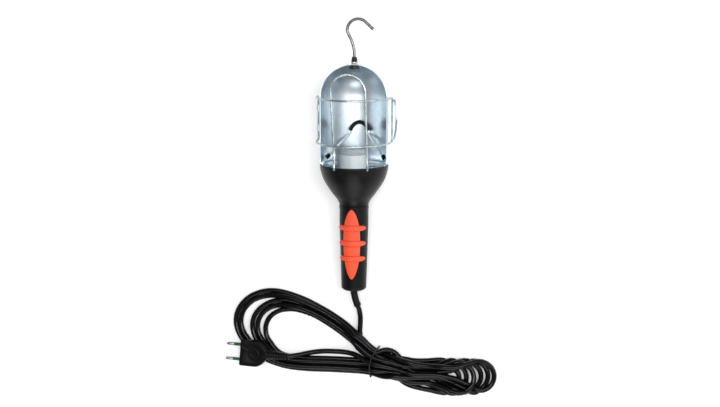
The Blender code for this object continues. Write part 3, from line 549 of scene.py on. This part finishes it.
def lead_rubber():
    """Glossy black sheath, a little uneven."""
    return surface("lead_rubber", (0.0018, 0.0018, 0.0024), 0.14, specular=0.18, mottle=0.3,
                   mottle_size=10.0, grain=1.6, grain_depth=0.08, spread=0.05)


def moulded_rubber():
    return surface("moulded_rubber", (0.0024, 0.0024, 0.0028), 0.34, specular=0.15, mottle=0.25,
                   mottle_size=4.0, grain_depth=0.04)


def nickel():
    return surface("nickel", (0.42, 0.40, 0.37), 0.3, metallic=1.0, mottle=0.08, mottle_size=4.0,
                   grain=0.25, grain_depth=0.01, spread=0.05)


def brass():
    return surface("brass", (0.70, 0.46, 0.17), 0.3, metallic=1.0, mottle=0.15, mottle_size=4.0,
                   grain=0.25, grain_depth=0.015)


def green_sleeve():
    return surface("green_sleeve", (0.006, 0.075, 0.036), 0.32, specular=0.4, mottle=0.15,
                   mottle_size=3.0, grain=0.2, grain_depth=0.01)


def core_plastic(name, colour):
    return surface(name, colour, 0.42)


# ---- meshes ----
def mesh_piece(name, bm, material, body, nodes=(), smooth_angle=38):
    """Turns a bmesh into a piece that rides on a body and stands for CAD nodes."""
    bmesh.ops.recalc_face_normals(bm, faces=bm.faces)
    mesh = bpy.data.meshes.new(name)
    bm.to_mesh(mesh)
    bm.free()
    mesh.shade_smooth()
    mesh.set_sharp_from_angle(angle=radians(smooth_angle))
    mesh.materials.append(material)
    return enter(put(name, mesh), body, nodes)


def enter(piece, body, nodes=()):
    """Sets the body a piece rides on and the CAD nodes it stands for."""
    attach(piece, body)
    if nodes:
        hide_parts(*nodes)
    return piece


def rounded(profile, radius, steps=3, turned=True):
    """A closed profile with rounded corners; in a turned one, points on the axis stay."""
    points = [Vector(p) for p in profile]
    out = []
    for i, here in enumerate(points):
        before, after = points[i - 1] - here, points[(i + 1) % len(points)] - here
        on_axis = turned and here.x < 1e-6
        if on_axis or before.length < 1e-6 or after.length < 1e-6:
            out.append(here)
            continue
        reach = min(radius, before.length * 0.45, after.length * 0.45)
        start, end = here + before.normalized() * reach, here + after.normalized() * reach
        for k in range(steps + 1):
            t = k / steps
            out.append(start * (1 - t) ** 2 + here * 2 * t * (1 - t) + end * t * t)
    return out


def round_angles(sides):
    """Angles of the corners of a regular polygon, in radians."""
    return [2 * pi * i / sides for i in range(sides)]


def turned_piece(name, profile, sides, material, node, place=TO_ROW, body="lamp", smooth_angle=38):
    """A piece turned about place's Z from a closed profile of (radius, height) in mm."""
    bm = bmesh.new()
    rings = []
    for radius, height in profile:
        angles = [0.0] if radius < 1e-6 else round_angles(sides)
        rings.append([bm.verts.new(place @ (Vector((radius * cos(a), radius * sin(a), height)) * MM))
                      for a in angles])
    for lower, upper in zip(rings, rings[1:] + rings[:1]):
        for i in range(sides):
            j = (i + 1) % sides
            corners = [lower[i % len(lower)], lower[j % len(lower)],
                       upper[j % len(upper)], upper[i % len(upper)]]
            corners = list(dict.fromkeys(corners))  # a ring on the axis is one point
            if len(corners) > 2:
                bm.faces.new(corners)
    return mesh_piece(name, bm, material, body, (node,), smooth_angle)


def join_rings(bm, rings, ends=True):
    """A skin over rings of equally many points, with its ends closed unless ends is False."""
    for lower, upper in zip(rings, rings[1:]):
        for i in range(len(lower)):
            j = (i + 1) % len(lower)
            bm.faces.new((lower[i], lower[j], upper[j], upper[i]))
    if ends:
        bm.faces.new(rings[0])
        bm.faces.new(rings[-1])


def swept_piece(name, path, radii, sides, node, smooth_angle=38):
    """A solid rubber bar along a path in mm of the lamp's own frame, with a radius for each point."""
    bm = bmesh.new()
    rings = []
    reference = Vector((0, 1, 0))
    for i, point in enumerate(path):
        along = (path[min(i + 1, len(path) - 1)] - path[max(i - 1, 0)]).normalized()
        side = reference.cross(along).normalized()
        up = along.cross(side)
        rings.append([bm.verts.new(TO_ROW @ ((point + radii[i] * (side * cos(a) + up * sin(a))) * MM))
                      for a in round_angles(sides)])
    join_rings(bm, rings)
    return mesh_piece(name, bm, RUBBER, "lamp", (node,), smooth_angle)


def lamp_line(points, step):
    """An even smooth line through points of the lamp's own frame, as Vectors in mm."""
    return [Vector(p) for p in smooth_line([tuple(p) for p in points], step)]


def wire(name, points, radius, body, node, closed=False, material=None):
    """A round wire through points of the lamp's own frame; its radius is in mm."""
    line = [lamp_point(*p) for p in points]
    return enter(tube(name, line, radius * MM, material or ZINC, 5, closed), body, (node,))


# ---- handle and grip ----
NECK_R = 18.2
TAPER_LONG = 85.0  # the handle widens to its neck over this length
WALL_TOP_Z = 160.0  # top edge of the bowl


def handle_radius(z):
    """Outer radius of the handle below the neck."""
    share = min(1.0, max(0.0, (z - HANDLE_END_Z) / TAPER_LONG))
    return HANDLE_END_R + (NECK_R - HANDLE_END_R) * share


def handle_side():
    """The handle's outer profile, with a groove and a band where it joins its bowl."""
    outer = [(HANDLE_END_R, HANDLE_END_Z)] + [(handle_radius(z), z) for z in (30, 60, 88)]
    outer += [(NECK_R, 107), (18.9, 112), (21.6, 117), (25.6, 122), (30.6, 129), (34.9, 135.5), (38.4, 142),
              (40.9, 149), (RIM_R, RIM_Z), (42.8, 159.4)]
    line = smooth_line([(r, 0, z) for r, z in outer], 1.6)
    seam_z = 109.2
    seam_half = 0.7
    seam_deep = 0.55
    band_long = 4.5
    band_rise = 0.35
    seam_rows = [seam_z + seam_half * s for s in (-1.2, -0.9, -0.45, 0, 0.45, 0.9, 1.2)]
    side = []
    for z in sorted([*line[:, 2], *seam_rows]):
        dip = seam_deep * max(0.0, 1 - abs((z - seam_z) / seam_half))
        band = band_rise if seam_z - band_long < z < seam_z - seam_half * 0.5 else 0.0
        side.append((float(np.interp(z, line[:, 2], line[:, 0])) - dip + band, z))
    return side


def build_handle():
    """Hollow handle, neck and bowl, turned as one solid."""
    end = [(5, 0), (HANDLE_FACE_R, 0), (HANDLE_END_R, HANDLE_END_Z), (HANDLE_END_R, 6.0)]
    end = rounded(end, 2.6, 6)[5:-7]  # from the end face round to the side
    profile = [(5, 3), (5, 0)] + [tuple(p) for p in end] + handle_side()
    profile += [(42.6, WALL_TOP_Z - 0.15), (42.2, WALL_TOP_Z), (40.2, WALL_TOP_Z), (39.9, WALL_TOP_Z - 0.3),
                (39.9, 152.3), (31.5, 152.3), (31.5, 146), (26, 131), (15.4, 112), (15.2, 90), (13.1, 20),
                (13.1, 3)]
    turned_piece("handle_shell", profile, 112, handle_plastic(), "handle_body")


GRIP_LOW_Z = 16.5
GRIP_HIGH_Z = 106.0
GRIP_RIBS = (43.0, 62.5, 82.0)
GRIP_ANGLE = 36.0  # degrees covered to each side of the front, at the middle
TIP_ANGLE = 1.5  # and at the tips
RIB_ANGLE = 62.0  # and on each rib
RIB_HALF = 3.4
GRIP_RISE = 1.45
GRIP_EDGE = 1.5  # width of the rounded edge
RIB_RISE = 0.75  # of the band on each rib, above the grip
GROOVE_DEEP = 0.75  # of the grooves beside each rib
GROOVE_HALF = 0.55
GROOVE_GAP = 0.15  # from the rib's flank to the middle of its groove


def grip_half_angle(z):
    """Half angle covered by the grip at height z, in degrees: a spindle with three cross ribs."""
    middle = (GRIP_LOW_Z + GRIP_HIGH_Z) / 2
    share = min(1.0, abs(z - middle) / (middle - GRIP_LOW_Z))
    angle = max(TIP_ANGLE, GRIP_ANGLE * (1 - share ** 2.2) ** 0.62)
    for rib in GRIP_RIBS:
        away = min(1.0, abs(z - rib) / RIB_HALF)
        angle += (RIB_ANGLE - angle) * (1 - away ** 2.6) ** 0.5
    return angle


def grip_height(z, from_edge):
    """How far the grip stands out: a rounded edge, a band on each rib and a groove beside it."""
    edge = min(1.0, from_edge / GRIP_EDGE)
    height = GRIP_RISE * sqrt(max(0.0, 1 - (1 - edge) ** 2))
    for rib in GRIP_RIBS:
        away = abs(z - rib)
        height += RIB_RISE * max(0.0, 1 - (away / RIB_HALF) ** 4) * edge
        height -= GROOVE_DEEP * max(0.0, 1 - abs(away - RIB_HALF - GROOVE_GAP) / GROOVE_HALF) * edge
    return height


def grip_rows():
    """Heights of the grip's rows of points, closer at the flanks of each rib."""
    rows = list(np.linspace(GRIP_LOW_Z, GRIP_HIGH_Z, 91))
    for rib in GRIP_RIBS:
        for share in (0.8, 0.9, 0.96, 0.99, 1.045, 1.12, 1.2):
            rows += [rib - share * RIB_HALF, rib + share * RIB_HALF]
    return sorted(rows)


def grip_outline(rows):
    """The grip's closed outline, laid flat, as (distance round the handle, height)."""
    outline = []
    for sign in (1, -1):
        outline += [(sign * radians(grip_half_angle(z)) * handle_radius(z), z) for z in rows[::sign]]
    return np.array(outline + outline[:1])


def distance_to(outline, here):
    """Distance from a point to the nearest side of a closed outline."""
    start, run = outline[:-1], np.diff(outline, axis=0)
    t = np.clip(((here - start) * run).sum(1) / np.maximum((run ** 2).sum(1), 1e-9), 0, 1)
    return np.sqrt(((start + run * t[:, None] - here) ** 2).sum(1)).min()


def build_grip():
    """The inlay as one closed solid, a little proud of the handle and sunk into it."""
    proud = 0.25
    sunk = 0.35
    columns = 44
    rows = grip_rows()
    outline = grip_outline(rows)
    bm = bmesh.new()
    outer, inner = [], []
    for z in rows:
        half = radians(grip_half_angle(z))
        out_row, in_row = [], []
        for i in range(columns + 1):
            a = half * sin(pi / 2 * (2 * i / columns - 1))  # closer together towards the edges
            from_edge = distance_to(outline, np.array((a * handle_radius(z), z)))
            for row, radius in ((out_row, handle_radius(z) + proud + grip_height(z, from_edge)),
                                (in_row, handle_radius(z) - sunk)):
                row.append(bm.verts.new(lamp_point(radius * sin(a), -radius * cos(a), z)))
        outer.append(out_row)
        inner.append(in_row)
    last = len(rows) - 1
    for r in range(last):
        for i in range(columns):
            bm.faces.new((outer[r][i], outer[r][i + 1], outer[r + 1][i + 1], outer[r + 1][i]))
            bm.faces.new((inner[r][i + 1], inner[r][i], inner[r + 1][i], inner[r + 1][i + 1]))
        for i in (0, columns):
            bm.faces.new((outer[r][i], inner[r][i], inner[r + 1][i], outer[r + 1][i]))
    for r in (0, last):
        for i in range(columns):
            bm.faces.new((outer[r][i], outer[r][i + 1], inner[r][i + 1], inner[r][i]))
    mesh_piece("grip_inlay", bm, grip_rubber(), "lamp", ("grip_front",), 55)


# ---- reflector ----
SHELL_R = 42.5
SHEET = 0.8
DOME_Z = 242.5  # where the sheet's straight side runs into its dome
STEP_Z = 161.8  # above this the sheet has its full width; below it fits into the bowl
OPEN_Y = -8.0  # everything in front of this is open
HOOK_HOLE_R = 2.4


def build_shell():
    """One thin sheet turned about the axis, cut open in front and given its thickness."""
    middle = SHELL_R - SHEET / 2
    profile = [(39.2, 153.7), (39.2, 159.8), (39.6, 160.6), (41.4, 161.1), (middle, STEP_Z)]
    profile += [(middle, STEP_Z + (DOME_Z - STEP_Z) * i / 10) for i in range(1, 11)]
    dome_steps = 26
    for i in range(1, dome_steps + 1):
        a = (pi / 2 - HOOK_HOLE_R / middle) * i / dome_steps
        profile.append((middle * cos(a), DOME_Z + middle * sin(a)))
    bm = bmesh.new()
    join_rings(bm, [[bm.verts.new((r * sin(a), r * cos(a), z)) for a in round_angles(144)]
                    for r, z in profile], ends=False)
    bmesh.ops.bisect_plane(bm, geom=bm.verts[:] + bm.edges[:] + bm.faces[:], plane_co=(0, OPEN_Y, 0),
                           plane_no=(0, -1, 0), clear_outer=True)
    bmesh.ops.transform(bm, matrix=TO_ROW @ Matrix.Scale(MM, 4), verts=bm.verts)
    shell = mesh_piece("reflector_sheet", bm, GALVANISED, "lamp",
                       ("reflector_shell",), 50)
    thick = shell.modifiers.new("sheet", "SOLIDIFY")
    thick.thickness = SHEET * MM
    thick.offset = 0
    edge = shell.modifiers.new("edge", "BEVEL")
    edge.width = 0.2 * MM
    edge.segments = 2
    edge.limit_method = "ANGLE"
    edge.angle_limit = radians(60)


STAY_R = 13.1  # radius of the stay's round bend
STAY_STRETCH = 1.45  # the bend is drawn out by this much along the lamp
STAY_TOP_Y = 38.0
STAY_TOP_Z = 209.5
STAY_LEAN = 0.16  # the bend comes forward by this much for each mm down from its top
STAY_TURN = 78  # degrees from the top at which the bend runs into its legs
STAY_FOOT = ((39.9, 1.0, 161.8), (39.3, 5.0, 163.4), (37.8, 9.0, 165.8))  # from its tip to its knee


def stay_bend(angle):
    """A point of the stay's bend, angle in degrees from its top, positive towards +X."""
    a = radians(angle)
    drop = STAY_R * (1 - cos(a)) * STAY_STRETCH
    return Vector((STAY_R * sin(a), STAY_TOP_Y - STAY_LEAN * drop, STAY_TOP_Z - drop))


def build_stay():
    """The bent wire across the reflector: straight legs, a round bend and turned-out feet."""
    foot = [Vector((-x, y, z)) for x, y, z in STAY_FOOT]
    legs = [foot[-1].lerp(stay_bend(-STAY_TURN), share) for share in (0.3, 0.65)]
    bend = [stay_bend(a) for a in range(-STAY_TURN, STAY_TURN + 1, 13)]
    mirror = [Vector((-p.x, p.y, p.z)) for p in reversed(foot + legs)]
    wire("stay_wire", lamp_line(foot + legs + bend + mirror, 1.2), 1.6, "lamp", "reflector_stay",
         material=stay_zinc())
    build_bend_cover()
    for number, side in enumerate((-1, 1), 1):
        build_foot_cover(number, side)


def build_bend_cover():
    """The dark sleeve on the bend, drawn in a little at its ends."""
    path = lamp_line([stay_bend(a) for a in range(-65, 66, 13)], 1.0)
    last = len(path) - 1
    radii = [2.5 - 0.6 * max(0.0, 1 - min(i, last - i) / 1.5) ** 2 for i in range(last + 1)]
    swept_piece("stay_bend_cover", path, radii, 20, "stay_bend_sleeve")


def build_foot_cover(number, side):
    """The short dark sleeve just above a knee, with rounded ends."""
    x, y, z = STAY_FOOT[-1]
    knee = Vector((side * x, y, z))
    along = (stay_bend(side * STAY_TURN) - knee).normalized()
    start = 0.4
    long = 6.6
    shares = (0, 0.04, 0.12, 0.5, 0.88, 0.96, 1)
    radii = (2.3, 2.65, 2.8, 2.8, 2.8, 2.65, 2.3)
    path = [knee + along * (start + long * share) for share in shares]
    swept_piece(f"stay_foot_cover_{number}", path, radii, 24, f"stay_foot_sleeve_{number}")


# ---- hook ----
DOME_TOP_Z = DOME_Z + SHELL_R
HOOK_WIRE_R = 1.9
HOOK_R = 13.6  # from the middle of the hook's bend to the middle of its wire
HOOK_X = 4.6  # middle of the bend
HOOK_TIP_LONG = 11.5  # straight end past the bend


def build_hook():
    """The hook's wire with its collar, and the seat below it, which stays when the hook turns."""
    centre = Vector((HOOK_X, 0, LAMP_LONG - HOOK_WIRE_R - HOOK_R))
    points = [Vector((x, 0, z)) for x, z in ((0, 277.2), (0, 285), (0, 294), (-0.6, 303), (-3.2, 312),
                                             (-6.6, 319))]
    for angle in range(185, 39, -12):
        a = radians(angle)
        points.append(centre + HOOK_R * Vector((cos(a), 0, sin(a))))
    points.append(points[-1] + (points[-1] - points[-2]).normalized() * HOOK_TIP_LONG)
    wire("hook_wire", lamp_line(points, 1.2), HOOK_WIRE_R, "hook", "hook", material=hook_zinc())

    at_top = TO_ROW @ Matrix.Translation((0, 0, DOME_TOP_Z * MM))
    bore = 2.0
    collar = [(bore, 2.2), (4.0, 2.2), (4.0, 2.9), (3.6, 4.4), (3.2, 7.8), (bore, 7.8)]
    turned_piece("hook_collar", rounded(collar, 0.35), 48, BLACK, "hook_bush", at_top,
                 "hook")
    seat = [(bore, 0.3), (4.3, 0.3), (4.3, 1.9), (bore, 1.9)]
    turned_piece("hook_seat", rounded(seat, 0.3), 48, ZINC, "hook_washer", at_top)


# ---- guard ----
HOOP_R = 46.9
HINGE_Y = 6.0
HINGE_X = sqrt(HOOP_R ** 2 - HINGE_Y ** 2)
HOOP_LOW_Z = 189.0
HOOP_TOP_Z = 244.0
HOOP_DIP = 2.0  # how far the hoops sag at the front
ARCH_HALF = 21.4
ARCH_TAPER = 1.4  # how much closer each leg is to the middle at its foot
ARCH_TOP_X = -1.9
ARCH_LEAN = 4.9  # how far it leans to the right from top to foot
ARCH_Y = -37.9
ARCH_TOP_Z = 273.0
ARCH_FOOT_Z = 157.5
ARCH_FOOT_TOP_Z = 165.0  # below this the legs lie on the outside of the bowl
ARCH_FOOT_R = 44.8
BOW_REACH = 53.8  # the finger bow's outermost point
BOW_LEAN = 4.0  # how far the bow's middle comes forward
WIRE_R = 1.3


def on_hoop(angle, z):
    """A point at HOOP_R, angle in radians from the open front, positive towards +X."""
    return Vector((HOOP_R * sin(angle), -HOOP_R * cos(angle), z - HOOP_DIP * max(0.0, cos(angle))))


def arch_point(side, z):
    """A point of one leg: the arch leans a little and its legs draw together towards the feet."""
    down = (ARCH_TOP_Z - z) / (ARCH_TOP_Z - ARCH_FOOT_Z)
    x = side * (ARCH_HALF - ARCH_TAPER * down) + ARCH_TOP_X + ARCH_LEAN * down
    y = -sqrt(ARCH_FOOT_R ** 2 - x ** 2) if z < ARCH_FOOT_TOP_Z else ARCH_Y
    return Vector((x, y, z))


def frame_outline():
    """The guard's frame laid flat, as (distance round the axis, height)."""
    half_width = (pi - atan2(HINGE_X, HINGE_Y)) * HOOP_R
    corner = 4.0
    outline = []
    for sign, corner_z, first in ((1, HOOP_TOP_Z - corner, 90), (1, HOOP_LOW_Z + corner, 0),
                                  (-1, HOOP_LOW_Z + corner, -90), (-1, HOOP_TOP_Z - corner, 180)):
        for i in range(7):
            a = radians(first - 15 * i)
            outline.append((sign * (half_width - corner) + corner * cos(a), corner_z + corner * sin(a)))
    dense = []
    for (u, z), (next_u, next_z) in zip(outline, outline[1:] + outline[:1]):
        pieces = max(1, int(max(abs(next_u - u), abs(next_z - z)) / 2.5))
        dense += [(u + (next_u - u) * i / pieces, z + (next_z - z) * i / pieces) for i in range(pieces)]
    return dense


def build_guard():
    """A wire frame rolled round the lamp's axis, an arch in front, a finger bow and weld beads."""
    wire("guard_hoops", [on_hoop(u / HOOP_R, z) for u, z in frame_outline()], WIRE_R, "guard",
         "guard_frame", closed=True)

    spring_z = ARCH_TOP_Z - ARCH_HALF
    heights = (ARCH_FOOT_Z, 163, 176, 195, 214, 233)
    arch = [arch_point(sin(radians(a)), spring_z + ARCH_HALF * cos(radians(a))) for a in range(-90, 91, 10)]
    path = [arch_point(-1, z) for z in heights] + arch + [arch_point(1, z) for z in reversed(heights)]
    wire("guard_hairpin", lamp_line(path, 1.8), WIRE_R + 0.1, "guard", "guard_arch")

    start = HINGE_X + 2 * WIRE_R + 0.1
    reach = BOW_REACH - WIRE_R - start
    steps = 24
    bow = []
    for i in range(steps + 1):
        share = i / steps
        z = HOOP_LOW_Z + 3 + (HOOP_TOP_Z - HOOP_LOW_Z - 6) * share
        lift = sin(pi * share) ** 0.8
        bow.append(Vector((start + reach * lift, HINGE_Y - BOW_LEAN * lift, z)))
    wire("guard_bow", bow, WIRE_R, "guard", "guard_finger_bow")
    build_welds(start)


def build_welds(bow_x):
    """Small beads where the guard's wires are spot-welded together."""
    bead_r = 1.3
    bead_high = 1.2
    spots = []  # each with how far its bead reaches from front to back
    for z in (HOOP_LOW_Z, HOOP_TOP_Z):
        for side in (-1, 1):
            on_arch = arch_point(side, z - 0.9 * HOOP_DIP)
            hoop_y = -sqrt(HOOP_R ** 2 - on_arch.x ** 2)
            on_arch.y = (on_arch.y + hoop_y) / 2
            spots.append((on_arch, (ARCH_Y - hoop_y) / 2))
    for z in (HOOP_LOW_Z + 4, HOOP_TOP_Z - 4):
        spots.append((Vector(((HINGE_X + bow_x) / 2, HINGE_Y, z)), WIRE_R))
    bm = bmesh.new()
    for spot, reach in spots:
        swell = Matrix.Diagonal((bead_r * MM, max(bead_r, reach) * MM, bead_high * MM, 1))
        place = TO_ROW @ Matrix.Translation(spot * MM) @ swell
        bmesh.ops.create_icosphere(bm, subdivisions=3, radius=1.0, matrix=place)
    mesh_piece("guard_welds", bm, ZINC, "guard", smooth_angle=80)


# ---- lampholder ----
def build_holder():
    """The lampholder's pale skirt with its flange, and the greyer collar round its mouth."""
    flange_z = 153.4
    skirt = [(15.0, 134), (17.2, 134), (17.2, flange_z), (20.6, flange_z), (20.6, flange_z + 2.4),
             (18.4, flange_z + 3.2), (18.4, 173.6), (15.0, 173.6)]
    turned_piece("holder_skirt", rounded(skirt, 0.7), 96, thermoset(), "lampholder_body")
    collar = [(14.5, 173.9), (18.9, 173.9), (18.9, 175.2), (18.55, 175.7), (18.9, 176.2), (18.9, 178.0),
              (18.9, 181.0), (14.5, 181.0)]
    turned_piece("holder_collar", rounded(collar, 0.8), 96, collar_thermoset(),
                 "lampholder_ring")


# ---- boot and plug ----
BOOT_COLLAR_R = 7.2  # inside the handle's end
BOOT_R = 4.6
BOOT_RIBS_FROM = 3.0  # distances along the boot, from the handle's end
BOOT_RIBS_TO = 17.5
BOOT_RIB_PITCH = 2.9
BOOT_LIP_FROM = 19.8


def boot_radius(z):
    """Radius of the boot at a height z in the lamp's own frame; the handle ends at 0."""
    if z > 3.3:
        return BOOT_COLLAR_R
    along = -z
    radius = BOOT_R - 0.012 * max(0.0, along - 2)
    if BOOT_RIBS_FROM < along < BOOT_RIBS_TO:
        groove = max(0.0, sin(2 * pi * (along - BOOT_RIBS_FROM) / BOOT_RIB_PITCH))
        radius -= 0.32 * groove ** 0.7
    if along > BOOT_LIP_FROM:
        radius += 0.35
    return radius


def build_boot():
    """Cord boot: five shallow ribs on a sleeve that ends in a small rounded lip."""
    path = lamp_line([(0, 0, 7.4), (0, 0, 3.0), (0, 0, -1.5), (0.9, 0.1, -8), (2.6, 0.5, -15),
                      (4.8, 1.2, -21.5)], 0.3)
    radii = [boot_radius(point.z) for point in path]
    radii[-1] -= 0.5
    radii[-2] -= 0.2
    return swept_piece("boot_ribbed", path, radii, 32, "cable_boot", 50)


# In the plug's own frame the lead goes in at 0 and the pins point to -X; sizes are in mm.
PLUG_TURN = -2.6
RELIEF_LONG = 28.6
BODY_LONG = 33.0
BODY_HALF = 16.8  # half its width
PLUG_THICK = 13.7
PLUG_LOW = 7.2  # height of the plug's underside: it lies on the strands
PIN_GAP = 19.0  # between the middles of the pins
PIN_LONG = 19.0
SHOULDER_X = -RELIEF_LONG
FACE_X = -RELIEF_LONG - BODY_LONG
DISH_X = FACE_X + BODY_LONG * 0.58  # middle of the round dish
TO_PLUG = (Matrix.Translation(floor_point(-84.3, -90.4, PLUG_LOW + PLUG_THICK / 2))
           @ Matrix.Rotation(radians(PLUG_TURN), 4, "Z"))


def plug_point(x, y, z):
    """A point of the plug's own frame in mm, in the row frame."""
    return TO_PLUG @ (Vector((x, y, z)) * MM)


def plug_outline(count):
    """Directions from the dish's middle, and how far the body's softened outline is in each."""
    half = [(SHOULDER_X + 2.6, 5.4), (SHOULDER_X + 0.2, 8.8), (SHOULDER_X - 3.2, 12.8),
            (SHOULDER_X - 7, 15.6), (SHOULDER_X - 11, BODY_HALF), (FACE_X, BODY_HALF)]
    corners = half + [(x, -y) for x, y in reversed(half)]
    ring = np.array([(p.x - DISH_X, p.y) for p in rounded(corners, 2.4, 5, turned=False)])
    ring = np.vstack([ring, ring[:1]])
    dense = np.concatenate([a + (b - a) * np.linspace(0, 1, 40, endpoint=False)[:, None]
                            for a, b in zip(ring, ring[1:])])
    angles = np.arctan2(dense[:, 1], dense[:, 0])
    order = np.argsort(angles)
    steps = np.linspace(-pi, pi, count, endpoint=False)
    far = np.interp(steps, angles[order], np.hypot(*dense.T)[order], period=2 * pi)
    return steps, far


def build_plug_body():
    """Flat moulding: soft edges all round, and a round shallow dish with a plain ring on top."""
    steps, far = plug_outline(180)
    half = PLUG_THICK / 2
    edge = 2.2
    edge_steps = 6
    sections = []  # up the lower edge, then the upper edge mirrored
    for i in range(edge_steps + 1):
        a = pi / 2 * i / edge_steps
        sections.append((-half + edge * (1 - cos(a)), edge * (1 - sin(a))))
    sections += [(-z, inset) for z, inset in reversed(sections)]
    bm = bmesh.new()
    rings = [[bm.verts.new(plug_point(DISH_X + (r - inset) * cos(a), (r - inset) * sin(a), z))
              for a, r in zip(steps, far)] for z, inset in sections]
    dish = ((9.3, 0), (9.0, -0.12), (8.7, -0.42), (8.2, -0.5), (6.3, -0.5), (5.9, -0.42), (5.6, -0.1),
            (4.9, -0.1), (4.6, -0.42), (4.2, -0.5), (1.2, -0.5))
    rings += [[bm.verts.new(plug_point(DISH_X + radius * cos(a), radius * sin(a), half + drop))
               for a in steps] for radius, drop in dish]
    join_rings(bm, rings)
    return mesh_piece("plug_moulding", bm, plug_plastic(), "lamp", ("plug_body",), 50)


def build_plug_relief():
    """Strain relief: seven ribs that get narrower towards the lead."""
    count = 7
    pitch = (RELIEF_LONG - 3.4) / count
    groove = 0.95
    profile = [(0, SHOULDER_X - 1.5), (6.0, SHOULDER_X - 1.5)]
    for i in range(count):
        x = SHOULDER_X + 1.2 + pitch * i
        rib_r = 6.3 - 0.2 * i
        profile += [(rib_r, x), (rib_r, x + pitch * 0.6), (rib_r - groove, x + pitch * 0.68),
                    (rib_r - groove, x + pitch * 0.94)]
    profile += [(5.0, -1.8), (4.6, 0), (0, 0)]
    return turned_piece("plug_relief", rounded(profile, 0.35), 40, RUBBER,
                        "plug_strain_relief", TO_PLUG @ Matrix.Rotation(pi / 2, 4, "Y"), smooth_angle=50)


def build_pin(number, side):
    """One pin with the sleeve round its thinner root; heights count from 0.3 mm off the face."""
    root = -0.3  # at the face
    place = (TO_PLUG @ Matrix.Translation(Vector((FACE_X + root, side * PIN_GAP / 2, 0)) * MM)
             @ Matrix.Rotation(-pi / 2, 4, "Y"))
    pin = [(0, root), (1.65, root), (1.65, 9.3), (2.0, 9.3), (2.0, 18.1), (1.3, PIN_LONG), (0, PIN_LONG)]
    sleeve = [(1.68, root), (1.98, root), (1.98, 9.1), (1.68, 9.1)]
    return [turned_piece(f"pin_{number}", rounded(pin, 0.5), 32, NICKEL,
                         f"plug_pin_{number}", place),
            turned_piece(f"pin_cover_{number}", rounded(sleeve, 0.12), 32, GREEN,
                         f"pin_sleeve_{number}", place)]


def build_plug():
    pieces = [build_plug_body(), build_plug_relief()]
    for number, side in enumerate((-1, 1), 1):
        pieces += build_pin(number, side)
    return pieces


# ---- CAD pieces that keep their shape ----
def finish_cad_pieces():
    """New materials for the CAD pieces that aren't rebuilt here."""
    finishes = {
        GALVANISED: ("reflector_base", "hinge_clip_1", "hinge_clip_2", "latch_catch"),
        ZINC: ("base_screw_1", "base_screw_2", "base_screw_3", "terminal_screw_1", "terminal_screw_2",
               "clamp_screw_1", "clamp_screw_2"),
        BLACK: ("hook_nut",),
        thermoset(): ("lampholder_nut", "holder_core", "cord_clamp_front", "cord_clamp_back"),
        RUBBER: ("cable_inner",),
        NICKEL: ("screw_shell",),
        brass(): ("centre_contact", "terminal_1", "terminal_2"),
        core_plastic("brown_core", (0.16, 0.06, 0.02)): ("conductor_brown",),
        core_plastic("blue_core", (0.03, 0.12, 0.4)): ("conductor_blue",),
    }
    for material, nodes in finishes.items():
        for node in nodes:
            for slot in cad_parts[node].material_slots:
                slot.material = material


make_camera()
make_floor()
make_lights()
GALVANISED = galvanised()
ZINC = zinc()
BLACK = small_plastic()
RUBBER = moulded_rubber()
NICKEL = nickel()
GREEN = green_sleeve()
build_lead([*build_plug(), build_boot()])
build_handle()
build_grip()
build_shell()
build_stay()
build_hook()
build_guard()
build_holder()
finish_cad_pieces()
